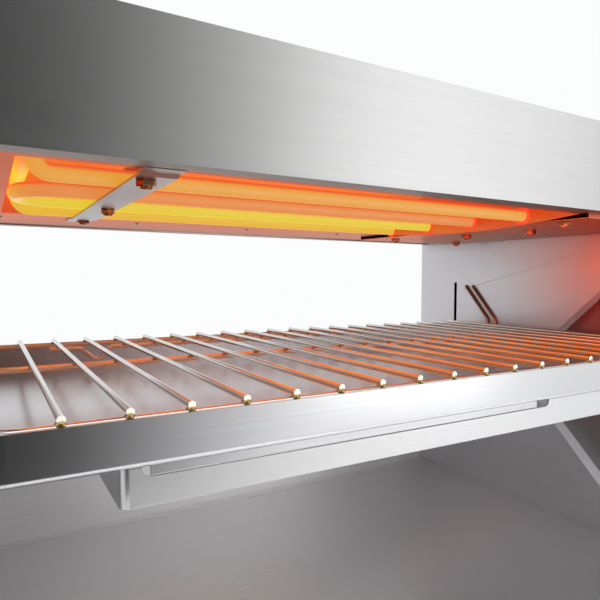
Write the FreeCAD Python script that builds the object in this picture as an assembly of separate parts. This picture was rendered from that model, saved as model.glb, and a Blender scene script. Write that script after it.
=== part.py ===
import FreeCAD, Part
import math
import os

# Cheese melter: a glowing hood over an open cooking space, with a wire rack in a
# lift-out tray on a height-adjustable carriage, and a control housing at the right.
# Millimetres, +Z up, +Y to the back, origin on the floor under the middle of the whole.

V = FreeCAD.Vector
X_AXIS = V(1, 0, 0)
Y_AXIS = V(0, 1, 0)
Z_AXIS = V(0, 0, 1)

# Driving sizes of the whole body
overall_width = 800.0
overall_height = 500.0
body_depth = 416.0
cooking_width_share = 0.795
wall_cavity = 17.0
foot_height = 31.0
base_height = 42.0
hood_height = 72.0
panel_sheet = 1.0
shell_sheet = 1.2
cut_overrun = 2.0
seat_clearance = 0.05
running_clearance = 0.05
loose_clearance = 0.3

# Base pan and its bottom plate
base_flange = 15.0
foot_inset = 45.0
bottom_vent_count = 9
bottom_vent_pitch = 24.0
bottom_vent_length = 90.0
bottom_vent_width = 6.0
bracket_hole_radius = 4.5
bracket_width_share = 0.8
bracket_depth_share = 0.625
base_screw_share = 0.25
vent_column_share = 0.2

# Adjustable feet
foot_pad_radius = 20.0
foot_pad_height = 9.0
foot_pad_round = 2.25
foot_neck_radius = 9.0
foot_neck_height = 9.0
foot_stud_radius = 5.0
foot_stud_above_base = 20.0
foot_nut_across = 17.0
foot_nut_height = 6.0
foot_boss_radius = 10.0
foot_boss_height = 11.0

# Side liners with their arrow-shaped front edge
liner_top_setback = 41.0
liner_apex_setback = 229.0
liner_bottom_setback = 51.0
liner_apex_above_deck = 175.0
skin_return = 12.0
back_panel_below_rack = 20.0

# Shelf levels and the vertical guides in the side walls
rack_below_hood = 118.0
slot_from_back = 75.6
slot_margin = 2.0
shelf_travel = 70.0
guide_rod_radius = 4.0
slider_depth = 26.0
slider_height = 50.0
slider_side_clearance = 1.0
rod_bracket_height = 12.0

# Tray under the rack
tray_height = 23.4
apron_drop = 3.0
apron_proud = 14.0
tray_sheet = 1.0
tray_corner_radius = 12.0
tray_bottom_radius = 3.0
tray_gap = 0.6
tongue_left_inset = 14.0
tongue_length = 279.0
tongue_drop = 4.4
tongue_gap = 0.6
tongue_overlap = 1.5

# Carriage
rail_height = 19.0
rail_inset = 63.0
rail_recess = 2.0
rail_sheet = 1.2
rail_return = 20.0
rail_bend_radius = 3.0
rail_flange = 10.0
notch_start_gap = 3.5
notch_end_gap = 14.0
notch_radius = 4.4
arm_flange = 12.0
beam_thickness = 4.0
beam_height = 30.0
beam_slot_clearance = 0.5

# Rack of chromed wire
rack_wire_radius = 2.0
rack_frame_radius = 2.5
rack_side_gap = 9.3
rack_wire_count = 20
rack_depth_share = 0.78125
rack_corner_radius = 14.0
rack_wire_overhang = 1.5
mid_rod_share = 0.5354
kinked_rod_share = 0.874
kinked_rod_inset = 51.0
kink_half_width = 14.0
kink_drop = 11.5
kink_bend_radius = 5.0
kink_inset = 92.0
rack_leg_inset = 40.0

# Bent wire guides on the side walls
guide_wire_radius = 2.0
guide_wire_wall_gap = 0.4
guide_wire_bend = 6.0
guide_wire_tail_bend = 2.4
guide_wire_from_back = 104.0
guide_wire_top_above_rack = 51.0
guide_wire_knee_above_rack = 6.0
guide_wire_toe_below_rack = 16.0
guide_wire_knee_run = 41.0
guide_wire_toe_run = 6.0
guide_wire_leg_spacing = 13.0
guide_wire_tail = 9.0

# Hood
hood_front_flange = 14.0
hood_side_margin = 3.0
hood_corner_radius = 2.0
hood_plate_sheet = 1.0
opening_left_margin = 24.0
opening_width_share = 0.695
opening_front_setback = 27.0
opening_depth = 264.0
hood_vent_count = 12
hood_vent_pitch = 34.0
hood_vent_length = 22.0
hood_vent_width = 4.0
hood_screw_height_share = 0.25
hood_screw_shares = (0.04, 0.35, 0.65, 0.96)

# Reflector, its end plate and the blanket above it
reflector_height = 38.0
reflector_slope = 7.0
reflector_lip = 4.0
end_plate_sheet = 1.2
end_plate_from_edge = 5.0
end_plate_hang = 7.2
blanket_top_gap = 4.3

# Tubular heating elements
element_radius = 5.5
element_first_share = 0.2235
element_pitch_share = 0.2462
element_end_margin = 7.0
element_bridge_margin = 12.0
element_bridge_rise = 22.0
element_bridge_bend = 10.0
element_turn_flat = 2.5
element_cold_reach = 16.0
element_bend_radius = 14.0
element_rise = 24.0
element_hole_clearance = 2.5
collar_radius = 8.0
collar_height = 8.0
stud_radius = 2.0
stud_height = 9.0

# Strap under the elements, and fixings
strap_width = 22.0
strap_thickness = 1.5
strap_from_opening = 58.0
strap_lap_front = 12.0
strap_lap_rear = 39.0
strap_drop = 1.6
strap_joggle_outside = 2.0
strap_joggle_inside = 4.0
strap_screw_across = (-3.0, 4.0, 1.0)
strap_front_screw = 17.0
strap_middle_screw_share = 0.625
strap_rear_screw = 9.0
clamp_bar_width = 11.0
clamp_bar_setback = 11.0
clamp_screw_reach = 15.0
screw_head_radius = 4.6
screw_head_height = 3.0
screw_shank_radius = 2.0
screw_recess_width = 1.2
screw_recess_share = 0.62
screw_recess_depth = 1.4
rivet_head_radius = 2.6
rivet_head_height = 1.4
rivet_shank_radius = 1.2
cover_gap = 3.0
cover_margin = 7.0
cover_rear_margin = 61.0
cover_drop = 4.2
cover_screw_shares = ((0.07, 0.095), (0.42, 0.335), (0.36, 0.587),
                      (0.17, 0.876), (0.85, 0.876), (0.85, 0.095))
cover_screw_reach = 7.5
hatch_reach = 46.0
hatch_margin = 14.0
rivet_behind = 38.0
rivet_shares = (0.0, 0.29, 0.58, 0.87)
lead_radius = 1.5
lead_bend = 6.0

# Control housing
fascia_sheet = 1.0
louvre_count = 12
louvre_pitch = 12.0
louvre_length = 78.0
louvre_width = 4.0
rear_screw_shares = (0.06, 0.5, 0.94)
regulator_width = 42.0
regulator_height = 44.0
regulator_depth = 30.0
bush_radius = 5.0
bush_proud = 7.0
spindle_radius = 3.0
spindle_inside = 14.0
spindle_nut_across = 14.0
spindle_nut_height = 3.0
knob_gap = 1.0
knob_depth = 23.0
knob_radius = 21.0
knob_skirt_radius = 24.0
knob_skirt_height = 4.0
knob_cavity_radius = 10.0
knob_cavity_depth = 9.0
knob_flute_count = 12
knob_flute_radius = 3.0
knob_rim_round = 2.4
knob_pointer_width = 2.4
knob_pointer_depth = 0.8
knob_pointer_inner = 5.0
power_knob_share = 0.74
timer_knob_share = 0.48
switch_share = 0.24
lamp_share = 0.89
lamp_spacing = 36.0
lamp_radius = 5.0
lamp_bezel_radius = 8.0
lamp_bezel_proud = 1.5
lamp_lens_proud = 4.0
lamp_body_depth = 22.0
switch_frame_width = 28.0
switch_frame_height = 34.0
switch_frame_proud = 2.0
switch_body_depth = 24.0
rocker_width = 18.0
rocker_radius = 11.0
rocker_face = 6.0
rocker_notch = 2.2
rocker_swing = 8.0
rocker_pivot_radius = 1.5

# Supply inlet, terminal block and wiring inside the housing
gland_hole_radius = 10.0
gland_bore_radius = 5.0
gland_flange_radius = 14.0
gland_flange_length = 4.0
gland_nut_across = 24.0
gland_nut_length = 12.0
gland_inside = 16.0
gland_above_deck = 40.0
block_width = 60.0
block_depth = 32.0
block_height = 24.0
block_from_back = 70.0
block_screw_count = 6
block_screw_offset_share = 0.33
block_screw_radius = 2.5
loom_radius = 4.0
loom_bend = 20.0
loom_above_plate = 22.0

# Places that follow from the sizes above
front_reach = knob_gap + knob_depth
rear_reach = gland_flange_length + gland_nut_length + cut_overrun
x_left = -overall_width / 2
x_right = overall_width / 2
y_front = front_reach - (front_reach + body_depth + rear_reach) / 2
y_back = y_front + body_depth
z_base = foot_height
z_deck = foot_height + base_height
z_hood = overall_height - hood_height
z_rack = z_hood - rack_below_hood
cooking_width = overall_width * cooking_width_share
open_height = overall_height - hood_height - foot_height - base_height
x_cook_left = x_left + panel_sheet + wall_cavity + panel_sheet
x_cook_right = x_cook_left + cooking_width
x_cook_mid = (x_cook_left + x_cook_right) / 2
x_partition = x_cook_right + panel_sheet + wall_cavity
x_controls = (x_partition + x_right) / 2
y_slot = y_back - slot_from_back
x_cavity_mid = x_cook_right + panel_sheet + wall_cavity / 2
z_tray_top = z_rack - apron_drop
z_tray = z_tray_top - tray_height
z_rail = z_tray - rail_height
y_apron = y_front - apron_proud
y_rail = y_apron + rail_recess
rack_width = cooking_width - 2 * rack_side_gap
rack_pitch = rack_width / (rack_wire_count + 1)
rack_depth = body_depth * rack_depth_share
tray_length = rack_depth + 2 * (rack_frame_radius + tray_gap + tray_sheet)
tray_width = rack_width + 2 * (rack_frame_radius + tray_gap + tray_sheet)
y_rack_front = y_apron + tray_sheet + tray_gap + rack_frame_radius
z_frame = z_rack - rack_wire_radius - rack_frame_radius
z_plate = z_hood + shell_sheet
z_plate_top = z_plate + hood_plate_sheet
opening_width = cooking_width * opening_width_share
x_opening = x_cook_left + opening_left_margin
y_opening = y_front + opening_front_setback
z_strap_top = z_plate - strap_drop
z_element = z_strap_top + element_radius
x_end_plate = x_opening + opening_width - end_plate_from_edge
element_pitch = opening_depth * element_pitch_share
y_first_element = y_opening + opening_depth * element_first_share
element_ys = [y_first_element + element_pitch * run for run in range(4)]
foot_places = []
for x_foot in (x_left + foot_inset, x_right - foot_inset):
    for y_foot in (y_front + foot_inset, y_back - foot_inset):
        foot_places.append(V(x_foot, y_foot, 0))


def block(x0, x1, y0, y1, z0, z1):
    return Part.makeBox(x1 - x0, y1 - y0, z1 - z0, V(x0, y0, z0))


def cylinder(point, axis, radius, length):
    return Part.makeCylinder(radius, length, point, axis)


def prism(points, along):
    return Part.Face(Part.makePolygon(points + [points[0]])).extrude(along)


def mirrored(shape):
    return shape.mirror(V(x_cook_mid, 0, 0), X_AXIS)


def join(shapes):
    return shapes[0].multiFuse(shapes[1:]).removeSplitter()


def hexagon(point, axis, across, height):
    corner = across / 2 / math.cos(math.radians(30))
    points = []
    for side in range(6):
        turn = math.radians(60 * side)
        points.append(V(corner * math.cos(turn), corner * math.sin(turn), 0))
    nut = prism(points, V(0, 0, height))
    nut.Placement = FreeCAD.Placement(point, FreeCAD.Rotation(Z_AXIS, axis))
    return nut


def slot_cutter(point, length, width, depth, along, axis):
    # A round-ended slot about point: length runs along one axis, the cut goes down axis.
    half = (length - width) / 2
    across = along.cross(axis)
    start = point - axis * (depth / 2)
    corners = []
    for side, end in ((-1, -1), (-1, 1), (1, 1), (1, -1)):
        corners.append(start + along * (half * end) + across * (width / 2 * side))
    ends = [cylinder(start + along * (half * end), axis, width / 2, depth) for end in (-1, 1)]
    return join([prism(corners, axis * depth)] + ends)


def bent_path(points, bends):
    # Straight lines through the points, rounded at each inner corner by its own radius.
    edges = []
    start = points[0]
    for before, corner, after, bend in zip(points, points[1:], points[2:], bends):
        into = (corner - before).normalize()
        out = (after - corner).normalize()
        half_turn = into.getAngle(out) / 2
        setback = bend * math.tan(half_turn)
        arc_in = corner - into * setback
        arc_out = corner + out * setback
        inward = (out - into).normalize()
        middle = corner + inward * (bend / math.cos(half_turn) - bend)
        edges.append(Part.LineSegment(start, arc_in).toShape())
        edges.append(Part.Arc(arc_in, middle, arc_out).toShape())
        start = arc_out
    edges.append(Part.LineSegment(start, points[-1]).toShape())
    return Part.Wire(edges)


def bent_rod(points, bends, radius):
    path = bent_path(points, bends)
    ring = Part.Wire(Part.makeCircle(radius, points[0], points[1] - points[0]))
    return path.makePipeShell([ring], True, False)


def dome(radius, height):
    edge = V(radius, 0, 0)
    top = V(0, 0, height)
    sphere = (radius * radius + height * height) / (2 * height)
    half = math.asin(radius / sphere) / 2
    middle = V(sphere * math.sin(half), 0, height - sphere + sphere * math.cos(half))
    outline = [Part.LineSegment(V(0, 0, 0), edge).toShape()]
    outline.append(Part.Arc(edge, middle, top).toShape())
    outline.append(Part.LineSegment(top, V(0, 0, 0)).toShape())
    return Part.Face(Part.Wire(outline)).revolve(V(0, 0, 0), Z_AXIS, 360)


def pan_screw(point, axis, shank_length):
    # The head's flat side lies at point and its dome points along axis.
    head = dome(screw_head_radius, screw_head_height)
    arm = screw_head_radius * screw_recess_share
    wide = screw_recess_width / 2
    low = screw_head_height - screw_recess_depth
    head = head.cut(block(-arm, arm, -wide, wide, low, screw_head_height))
    head = head.cut(block(-wide, wide, -arm, arm, low, screw_head_height))
    shank = cylinder(V(0, 0, -shank_length), Z_AXIS, screw_shank_radius, shank_length)
    screw = join([head, shank])
    screw.Placement = FreeCAD.Placement(point, FreeCAD.Rotation(Z_AXIS, axis))
    return screw


def rivet(point, axis, shank_length):
    head = dome(rivet_head_radius, rivet_head_height)
    shank = cylinder(V(0, 0, -shank_length), Z_AXIS, rivet_shank_radius, shank_length)
    pin = join([head, shank])
    pin.Placement = FreeCAD.Placement(point, FreeCAD.Rotation(Z_AXIS, axis))
    return pin


def drill(shape, points, axis, radius, depth):
    # Holes through shape, centred on each point along axis.
    for point in points:
        shape = shape.cut(cylinder(point - axis * (depth / 2), axis, radius, depth))
    return shape


def save(name, shape):
    os.makedirs("parts", exist_ok=True)
    if not shape.isValid():
        print("not valid:", name)
    shape.exportStep("parts/" + name + ".step")


def group(shapes):
    return Part.makeCompound(shapes)


# Base pan: the folded deck that stands on the feet and carries the whole body
def make_base_pan():
    pan = block(x_left, x_right, y_front, y_back, z_base, z_deck)
    inner = block(x_left + shell_sheet, x_right - shell_sheet, y_front + shell_sheet,
                  y_back - shell_sheet, z_base + shell_sheet, z_deck - shell_sheet)
    mouth = block(x_left + base_flange, x_right - base_flange, y_front + base_flange,
                  y_back - base_flange, z_base - cut_overrun, z_base + base_height / 2)
    pan = pan.cut(inner).cut(mouth)
    return drill(pan, base_screw_points(), Z_AXIS, screw_shank_radius + seat_clearance, 4 * shell_sheet)


def base_screw_points():
    points = []
    inset = base_flange / 2
    for x in (x_left + inset, x_right - inset):
        for y in (y_front + body_depth * base_screw_share, y_back - body_depth * base_screw_share):
            points.append(V(x, y, z_base))
    for x in (x_left + overall_width * base_screw_share, x_right - overall_width * base_screw_share):
        for y in (y_front + inset, y_back - inset):
            points.append(V(x, y, z_base))
    return points


def make_bottom_plate():
    gap = shell_sheet + loose_clearance
    low = z_base + shell_sheet
    plate = block(x_left + gap, x_right - gap, y_front + gap, y_back - gap, low, low + shell_sheet)
    middle = V(0, (y_front + y_back) / 2, low)
    for column in (-1, 1):
        for row in range(bottom_vent_count):
            across = (row - (bottom_vent_count - 1) / 2) * bottom_vent_pitch
            point = middle + V(column * overall_width * vent_column_share, across, 0)
            plate = plate.cut(slot_cutter(point, bottom_vent_length, bottom_vent_width,
                                          4 * shell_sheet, X_AXIS, Z_AXIS))
    corners = []
    for side in (-1, 1):
        for end in (-1, 1):
            across = side * overall_width * bracket_width_share / 2
            corners.append(middle + V(across, end * body_depth * bracket_depth_share / 2, 0))
    plate = drill(plate, corners, Z_AXIS, bracket_hole_radius, 4 * shell_sheet)
    studs = [place + V(0, 0, low) for place in foot_places]
    plate = drill(plate, studs, Z_AXIS, foot_stud_radius + running_clearance, 4 * shell_sheet)
    return drill(plate, base_screw_points(), Z_AXIS, screw_shank_radius + seat_clearance, 6 * shell_sheet)


def make_base_screws():
    return group([pan_screw(point, -Z_AXIS, 3 * shell_sheet) for point in base_screw_points()])


# Feet: a wide pad and a threaded stud in a boss on the bottom plate
def make_foot(place):
    pad = cylinder(place, Z_AXIS, foot_pad_radius, foot_pad_height)
    pad = pad.makeFillet(foot_pad_round, [pad.Edges[0]])
    neck = cylinder(place + V(0, 0, foot_pad_height), Z_AXIS, foot_neck_radius, foot_neck_height)
    low = foot_pad_height + foot_neck_height
    top = z_base + foot_stud_above_base
    stud = cylinder(place + V(0, 0, low), Z_AXIS, foot_stud_radius, top - low)
    return join([pad, neck, stud])


def make_foot_bosses():
    bosses = []
    low = z_base + 2 * shell_sheet
    for place in foot_places:
        boss = cylinder(place + V(0, 0, low), Z_AXIS, foot_boss_radius, foot_boss_height)
        bore = foot_stud_radius + running_clearance
        bosses.append(drill(boss, [place + V(0, 0, low)], Z_AXIS, bore, 3 * foot_boss_height))
    return group(bosses)


def make_foot_lock_nuts():
    nuts = []
    low = z_base + shell_sheet - foot_nut_height
    for place in foot_places:
        nut = hexagon(place + V(0, 0, low), Z_AXIS, foot_nut_across, foot_nut_height)
        bore = foot_stud_radius + running_clearance
        nuts.append(drill(nut, [place + V(0, 0, low)], Z_AXIS, bore, 3 * foot_nut_height))
    return group(nuts)


# Side walls: each is an inner liner folded outwards round its edges, against a flat skin
def liner_outline():
    return [V(x_cook_right, y_back, z_deck),
            V(x_cook_right, y_front + liner_bottom_setback, z_deck),
            V(x_cook_right, y_front + liner_apex_setback, z_deck + liner_apex_above_deck),
            V(x_cook_right, y_front + liner_top_setback, z_hood),
            V(x_cook_right, y_back, z_hood)]


def slot_limits():
    low = z_rail - slot_margin
    return low, z_rail + beam_height + shelf_travel + slot_margin


def guide_wire_y():
    return y_back - guide_wire_from_back


def guide_wire_holes():
    z_top = z_rack + guide_wire_top_above_rack
    return [V(x_cook_right, guide_wire_y() + leg * guide_wire_leg_spacing / 2, z_top) for leg in (-1, 1)]


def make_liner_right():
    outline = liner_outline()
    pan = prism(outline, V(panel_sheet + wall_cavity, 0, 0))
    inner = Part.Wire(Part.makePolygon(outline + [outline[0]])).makeOffset2D(-panel_sheet, 2)
    pocket = Part.Face(inner).extrude(V(wall_cavity + cut_overrun, 0, 0))
    pocket.translate(V(panel_sheet, 0, 0))
    pan = pan.cut(pocket)
    low, high = slot_limits()
    half = beam_thickness / 2 + beam_slot_clearance
    x0 = x_cook_right - cut_overrun
    pan = pan.cut(block(x0, x0 + panel_sheet + 2 * cut_overrun, y_slot - half, y_slot + half, low, high))
    return drill(pan, guide_wire_holes(), X_AXIS, guide_wire_radius + seat_clearance, 6 * panel_sheet)


def make_outer_skin_left():
    # A flat side skin from deck to hood, with its front edge folded in over the liner.
    skin = block(x_left, x_left + panel_sheet, y_front, y_back, z_deck, z_hood)
    fold = block(x_left + panel_sheet, x_left + panel_sheet + skin_return, y_front, y_front + panel_sheet,
                 z_deck, z_hood)
    return join([skin, fold])


def make_partition():
    return block(x_partition, x_partition + panel_sheet, y_front + fascia_sheet,
                 y_back - fascia_sheet, z_deck, z_hood)


def make_outer_skin_right():
    return block(x_right - panel_sheet, x_right, y_front + fascia_sheet,
                 y_back - fascia_sheet, z_deck, z_hood)


# Low back panel behind the space under the shelf
def make_lower_back_panel():
    top = z_rack - back_panel_below_rack
    panel = block(x_cook_left, x_cook_right, y_back - panel_sheet, y_back, z_deck, top)
    hem = block(x_cook_left, x_cook_right, y_back - skin_return, y_back, top - panel_sheet, top)
    foot = block(x_cook_left, x_cook_right, y_back - skin_return, y_back, z_deck, z_deck + panel_sheet)
    return join([panel, hem, foot])


# Vertical guides inside the wall cavities
def slider_levels():
    middle = z_rail + beam_height / 2
    return middle - slider_height / 2, middle + slider_height / 2


def rod_bracket_levels():
    low, high = slider_levels()
    return low - rod_bracket_height, high + shelf_travel + slot_margin


def make_guide_rod_right():
    low, high = rod_bracket_levels()
    return cylinder(V(x_cavity_mid, y_slot, low), Z_AXIS, guide_rod_radius, high + rod_bracket_height - low)


def make_rod_brackets():
    brackets = []
    for low in rod_bracket_levels():
        shape = block(x_cook_right + panel_sheet, x_partition, y_slot - slider_depth / 2,
                      y_slot + slider_depth / 2, low, low + rod_bracket_height)
        bore = guide_rod_radius + seat_clearance
        shape = drill(shape, [V(x_cavity_mid, y_slot, low)], Z_AXIS, bore, 3 * rod_bracket_height)
        brackets.append(shape)
    return group(brackets + [mirrored(shape) for shape in brackets])


def make_slider_block_right():
    low, high = slider_levels()
    shape = block(x_cook_right + panel_sheet + slider_side_clearance, x_partition - slider_side_clearance,
                  y_slot - slider_depth / 2, y_slot + slider_depth / 2, low, high)
    bore = guide_rod_radius + running_clearance
    return drill(shape, [V(x_cavity_mid, y_slot, low)], Z_AXIS, bore, 3 * slider_height)


def make_wire_guide_right():
    x = x_cook_right - guide_wire_wall_gap - guide_wire_radius
    x_tail = x_cook_right + panel_sheet + guide_wire_tail
    z_top = z_rack + guide_wire_top_above_rack
    z_knee = z_rack + guide_wire_knee_above_rack
    z_toe = z_rack - guide_wire_toe_below_rack
    near = guide_wire_y() - guide_wire_leg_spacing / 2
    far = guide_wire_y() + guide_wire_leg_spacing / 2
    down = [V(x_tail, near, z_top), V(x, near, z_top)]
    down.append(V(x, near - guide_wire_knee_run, z_knee))
    down.append(V(x, near - guide_wire_knee_run - guide_wire_toe_run, z_toe))
    up = [V(x, far - guide_wire_knee_run - guide_wire_toe_run, z_toe)]
    up.append(V(x, far - guide_wire_knee_run, z_knee))
    up.append(V(x, far, z_top))
    up.append(V(x_tail, far, z_top))
    bends = [guide_wire_bend] * len(down + up)
    bends = [guide_wire_tail_bend] + bends[:4] + [guide_wire_tail_bend]
    return bent_rod(down + up, bends, guide_wire_radius)


# Carriage: front rail, two arms and a rear beam that ends in the slider blocks
def rail_limits():
    return x_cook_left + rail_inset, x_cook_right - rail_inset


def make_front_rail():
    x0, x1 = rail_limits()
    outer = block(x0, x1, y_rail, y_rail + rail_return, z_rail, z_tray)
    inner = block(x0 + rail_sheet, x1 - rail_sheet, y_rail + rail_sheet,
                  y_rail + rail_return + cut_overrun, z_rail - cut_overrun, z_tray + cut_overrun)
    corner = rail_bend_radius + rail_sheet
    outer = outer.makeFillet(corner, upright_edges(outer, y_rail))
    inner = inner.makeFillet(rail_bend_radius, upright_edges(inner, y_rail + rail_sheet))
    rail = outer.cut(inner)
    flange = block(x0 + corner, x1 - corner, y_rail + rail_sheet / 2, y_rail + rail_flange,
                   z_rail, z_rail + rail_sheet)
    low = z_tray - tongue_drop - tongue_gap
    left = x0 + tongue_left_inset - notch_start_gap
    right = x0 + tongue_left_inset + tongue_length + notch_end_gap
    notch = block(left, right, y_rail - cut_overrun, y_rail + rail_sheet + cut_overrun,
                  low, z_tray + cut_overrun)
    bottom = [edge for edge in notch.Edges if is_along_y(edge) and edge.CenterOfMass.z < z_tray]
    notch = notch.makeFillet(notch_radius, bottom)
    return join([rail, flange]).cut(notch)


def is_along_y(edge):
    return abs(edge.tangentAt(edge.FirstParameter).y) > 0.5


def upright_edges(shape, y):
    found = []
    for edge in shape.Edges:
        if abs(edge.tangentAt(edge.FirstParameter).z) > 0.5 and abs(edge.CenterOfMass.y - y) < seat_clearance:
            found.append(edge)
    return found


def make_arm_right():
    x1 = rail_limits()[1]
    y0 = y_rail + rail_return
    y1 = y_slot - beam_thickness / 2
    web = block(x1 - rail_sheet, x1, y0, y1, z_rail, z_tray)
    top = block(x1 - arm_flange, x1, y0, y1, z_tray - rail_sheet, z_tray)
    return join([web, top])


def make_rear_beam():
    reach = x_cook_right + panel_sheet + slider_side_clearance
    return block(2 * x_cook_mid - reach, reach, y_slot - beam_thickness / 2,
                 y_slot + beam_thickness / 2, z_rail, z_rail + beam_height)


# Tray with its deep front apron and the tongue that drops into the rail
def tray_solid(inset):
    half = tray_width / 2 - inset
    shape = block(x_cook_mid - half, x_cook_mid + half, y_apron + inset,
                  y_apron + tray_length - inset, z_tray + inset, z_tray_top)
    uprights = [edge for edge in shape.Edges if abs(edge.tangentAt(edge.FirstParameter).z) > 0.5]
    shape = shape.makeFillet(tray_corner_radius - inset, uprights)
    bottom = [edge for edge in shape.Edges if edge.BoundBox.ZMax < z_tray + inset + seat_clearance]
    return shape.makeFillet(tray_bottom_radius - inset, bottom)


def make_tray_pan():
    inner = tray_solid(tray_sheet)
    lid = block(x_cook_mid - tray_width, x_cook_mid + tray_width, y_apron, y_apron + tray_length,
                z_tray_top, z_tray_top + cut_overrun)
    return tray_solid(0).cut(inner).cut(lid)


def make_tray_tongue():
    x0 = rail_limits()[0] + tongue_left_inset
    tongue = block(x0, x0 + tongue_length, y_rail, y_rail + rail_sheet,
                   z_tray - tongue_drop, z_tray + tongue_overlap)
    return tongue.cut(tray_solid(-seat_clearance))


# Rack: a wire frame on four short legs, with cross wires on top and rods below them
def frame_corners():
    half = rack_width / 2
    return (x_cook_mid - half, x_cook_mid + half, y_rack_front, y_rack_front + rack_depth)


def make_rack_frame():
    x0, x1, y0, y1 = frame_corners()
    y_mid = (y0 + y1) / 2
    points = [V(x0, y_mid, z_frame), V(x0, y0, z_frame), V(x1, y0, z_frame)]
    points.append(V(x1, y_mid, z_frame))
    bends = [rack_corner_radius] * 2
    front = bent_rod(points, bends, rack_frame_radius)
    points = [V(x1, y_mid, z_frame), V(x1, y1, z_frame), V(x0, y1, z_frame)]
    points.append(V(x0, y_mid, z_frame))
    back = bent_rod(points, bends, rack_frame_radius)
    legs = []
    z_floor = z_tray + tray_sheet + loose_clearance
    for x in (x0, x1):
        for y in (y0 + rack_leg_inset, y1 - rack_leg_inset):
            legs.append(cylinder(V(x, y, z_floor), Z_AXIS, rack_wire_radius, z_frame - z_floor))
    return join([front, back] + legs)


def make_rack_wires():
    x0, x1, y0, y1 = frame_corners()
    wires = []
    for number in range(1, rack_wire_count + 1):
        start = V(x0 + number * rack_pitch, y0 - rack_wire_overhang, z_rack)
        wires.append(cylinder(start, Y_AXIS, rack_wire_radius, y1 - y0 + 2 * rack_wire_overhang))
    return group(wires)


def make_rack_mid_rod():
    x0, x1, y0, y1 = frame_corners()
    z = z_rack - 2 * rack_wire_radius
    start = V(x0 + rack_frame_radius, y0 + rack_depth * mid_rod_share, z)
    return cylinder(start, X_AXIS, rack_wire_radius, x1 - x0 - 2 * rack_frame_radius)


def make_rack_kinked_rod():
    # A cross rod with a shallow downward kink near each end.
    x0, x1, y0, y1 = frame_corners()
    y = y0 + rack_depth * kinked_rod_share
    z = z_rack - 2 * rack_wire_radius
    points = [V(x0 + kinked_rod_inset, y, z)]
    for x in (x0 + kink_inset, x1 - kink_inset):
        points.append(V(x - kink_half_width, y, z))
        points.append(V(x, y, z - kink_drop - kink_tip_lift()))
        points.append(V(x + kink_half_width, y, z))
    points.append(V(x1 - kinked_rod_inset, y, z))
    return bent_rod(points, [kink_bend_radius] * len(points), rack_wire_radius)


def kink_tip_lift():
    # How far the bent tip stays above the sharp corner of its two straight legs.
    half_turn = math.atan2(kink_drop, kink_half_width)
    return kink_bend_radius * (1 / math.cos(half_turn) - 1)


# Hood: an open-bottomed shell, its bottom plate and what hangs in the opening
def make_hood_shell():
    outer = block(x_left, x_right, y_front, y_back, z_hood, overall_height)
    uprights = [edge for edge in outer.Edges if abs(edge.tangentAt(edge.FirstParameter).z) > 0.5]
    outer = outer.makeFillet(hood_corner_radius, uprights)
    inner = block(x_left + shell_sheet, x_right - shell_sheet, y_front + shell_sheet,
                  y_back - shell_sheet, z_hood + shell_sheet, overall_height - shell_sheet)
    mouth = block(x_cook_left + hood_side_margin, x_cook_right - hood_side_margin,
                  y_front + hood_front_flange, y_back - hood_front_flange,
                  z_hood - cut_overrun, z_hood + hood_height / 2)
    shell = outer.cut(inner).cut(mouth)
    middle = V((x_left + x_right) / 2, y_back, z_hood + hood_height / 2)
    for number in range(hood_vent_count):
        across = (number - (hood_vent_count - 1) / 2) * hood_vent_pitch
        shell = shell.cut(slot_cutter(middle + V(across, 0, 0), hood_vent_length, hood_vent_width,
                                      4 * shell_sheet, X_AXIS, Y_AXIS))
    loom_hole = V(x_controls, y_back - block_from_back, z_hood)
    shell = drill(shell, [loom_hole], Z_AXIS, loom_radius + loose_clearance, 4 * shell_sheet)
    points = housing_rim_points()
    return drill(shell, points, Y_AXIS, screw_shank_radius + seat_clearance, 4 * shell_sheet)


def housing_rim_points():
    z = z_hood + hood_height * hood_screw_height_share
    return [V(x_left + overall_width * share, y_back, z) for share in hood_screw_shares]


def opening_limits():
    return x_opening, x_opening + opening_width, y_opening, y_opening + opening_depth


def strap_x():
    return x_opening + strap_from_opening + strap_width / 2


def clamp_screw_points():
    # These two hold the clamp bar above the tubes down to the strap.
    z = z_strap_top - strap_thickness
    first, second, last = strap_screw_across
    return [V(strap_x() + first, y_opening + strap_front_screw, z),
            V(strap_x() + second, y_opening + opening_depth * strap_middle_screw_share, z)]


def strap_end_point():
    # The last screw holds the strap's rear end to the plate.
    y = y_opening + opening_depth + strap_rear_screw
    return V(strap_x() + strap_screw_across[2], y, z_plate - strap_thickness)


def cover_limits():
    x0, x1, y0, y1 = opening_limits()
    return x_end_plate + cover_gap, x_cook_right - cover_margin, y0 - cover_margin, y1 + cover_rear_margin


def cover_screw_points():
    x0, x1, y0, y1 = cover_limits()
    z = z_plate - cover_drop
    return [V(x0 + (x1 - x0) * across, y0 + (y1 - y0) * back, z) for across, back in cover_screw_shares]


def rivet_points():
    x0, x1, y0, y1 = opening_limits()
    return [V(x0 + opening_width * share, y1 + rivet_behind, z_plate) for share in rivet_shares]


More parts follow.
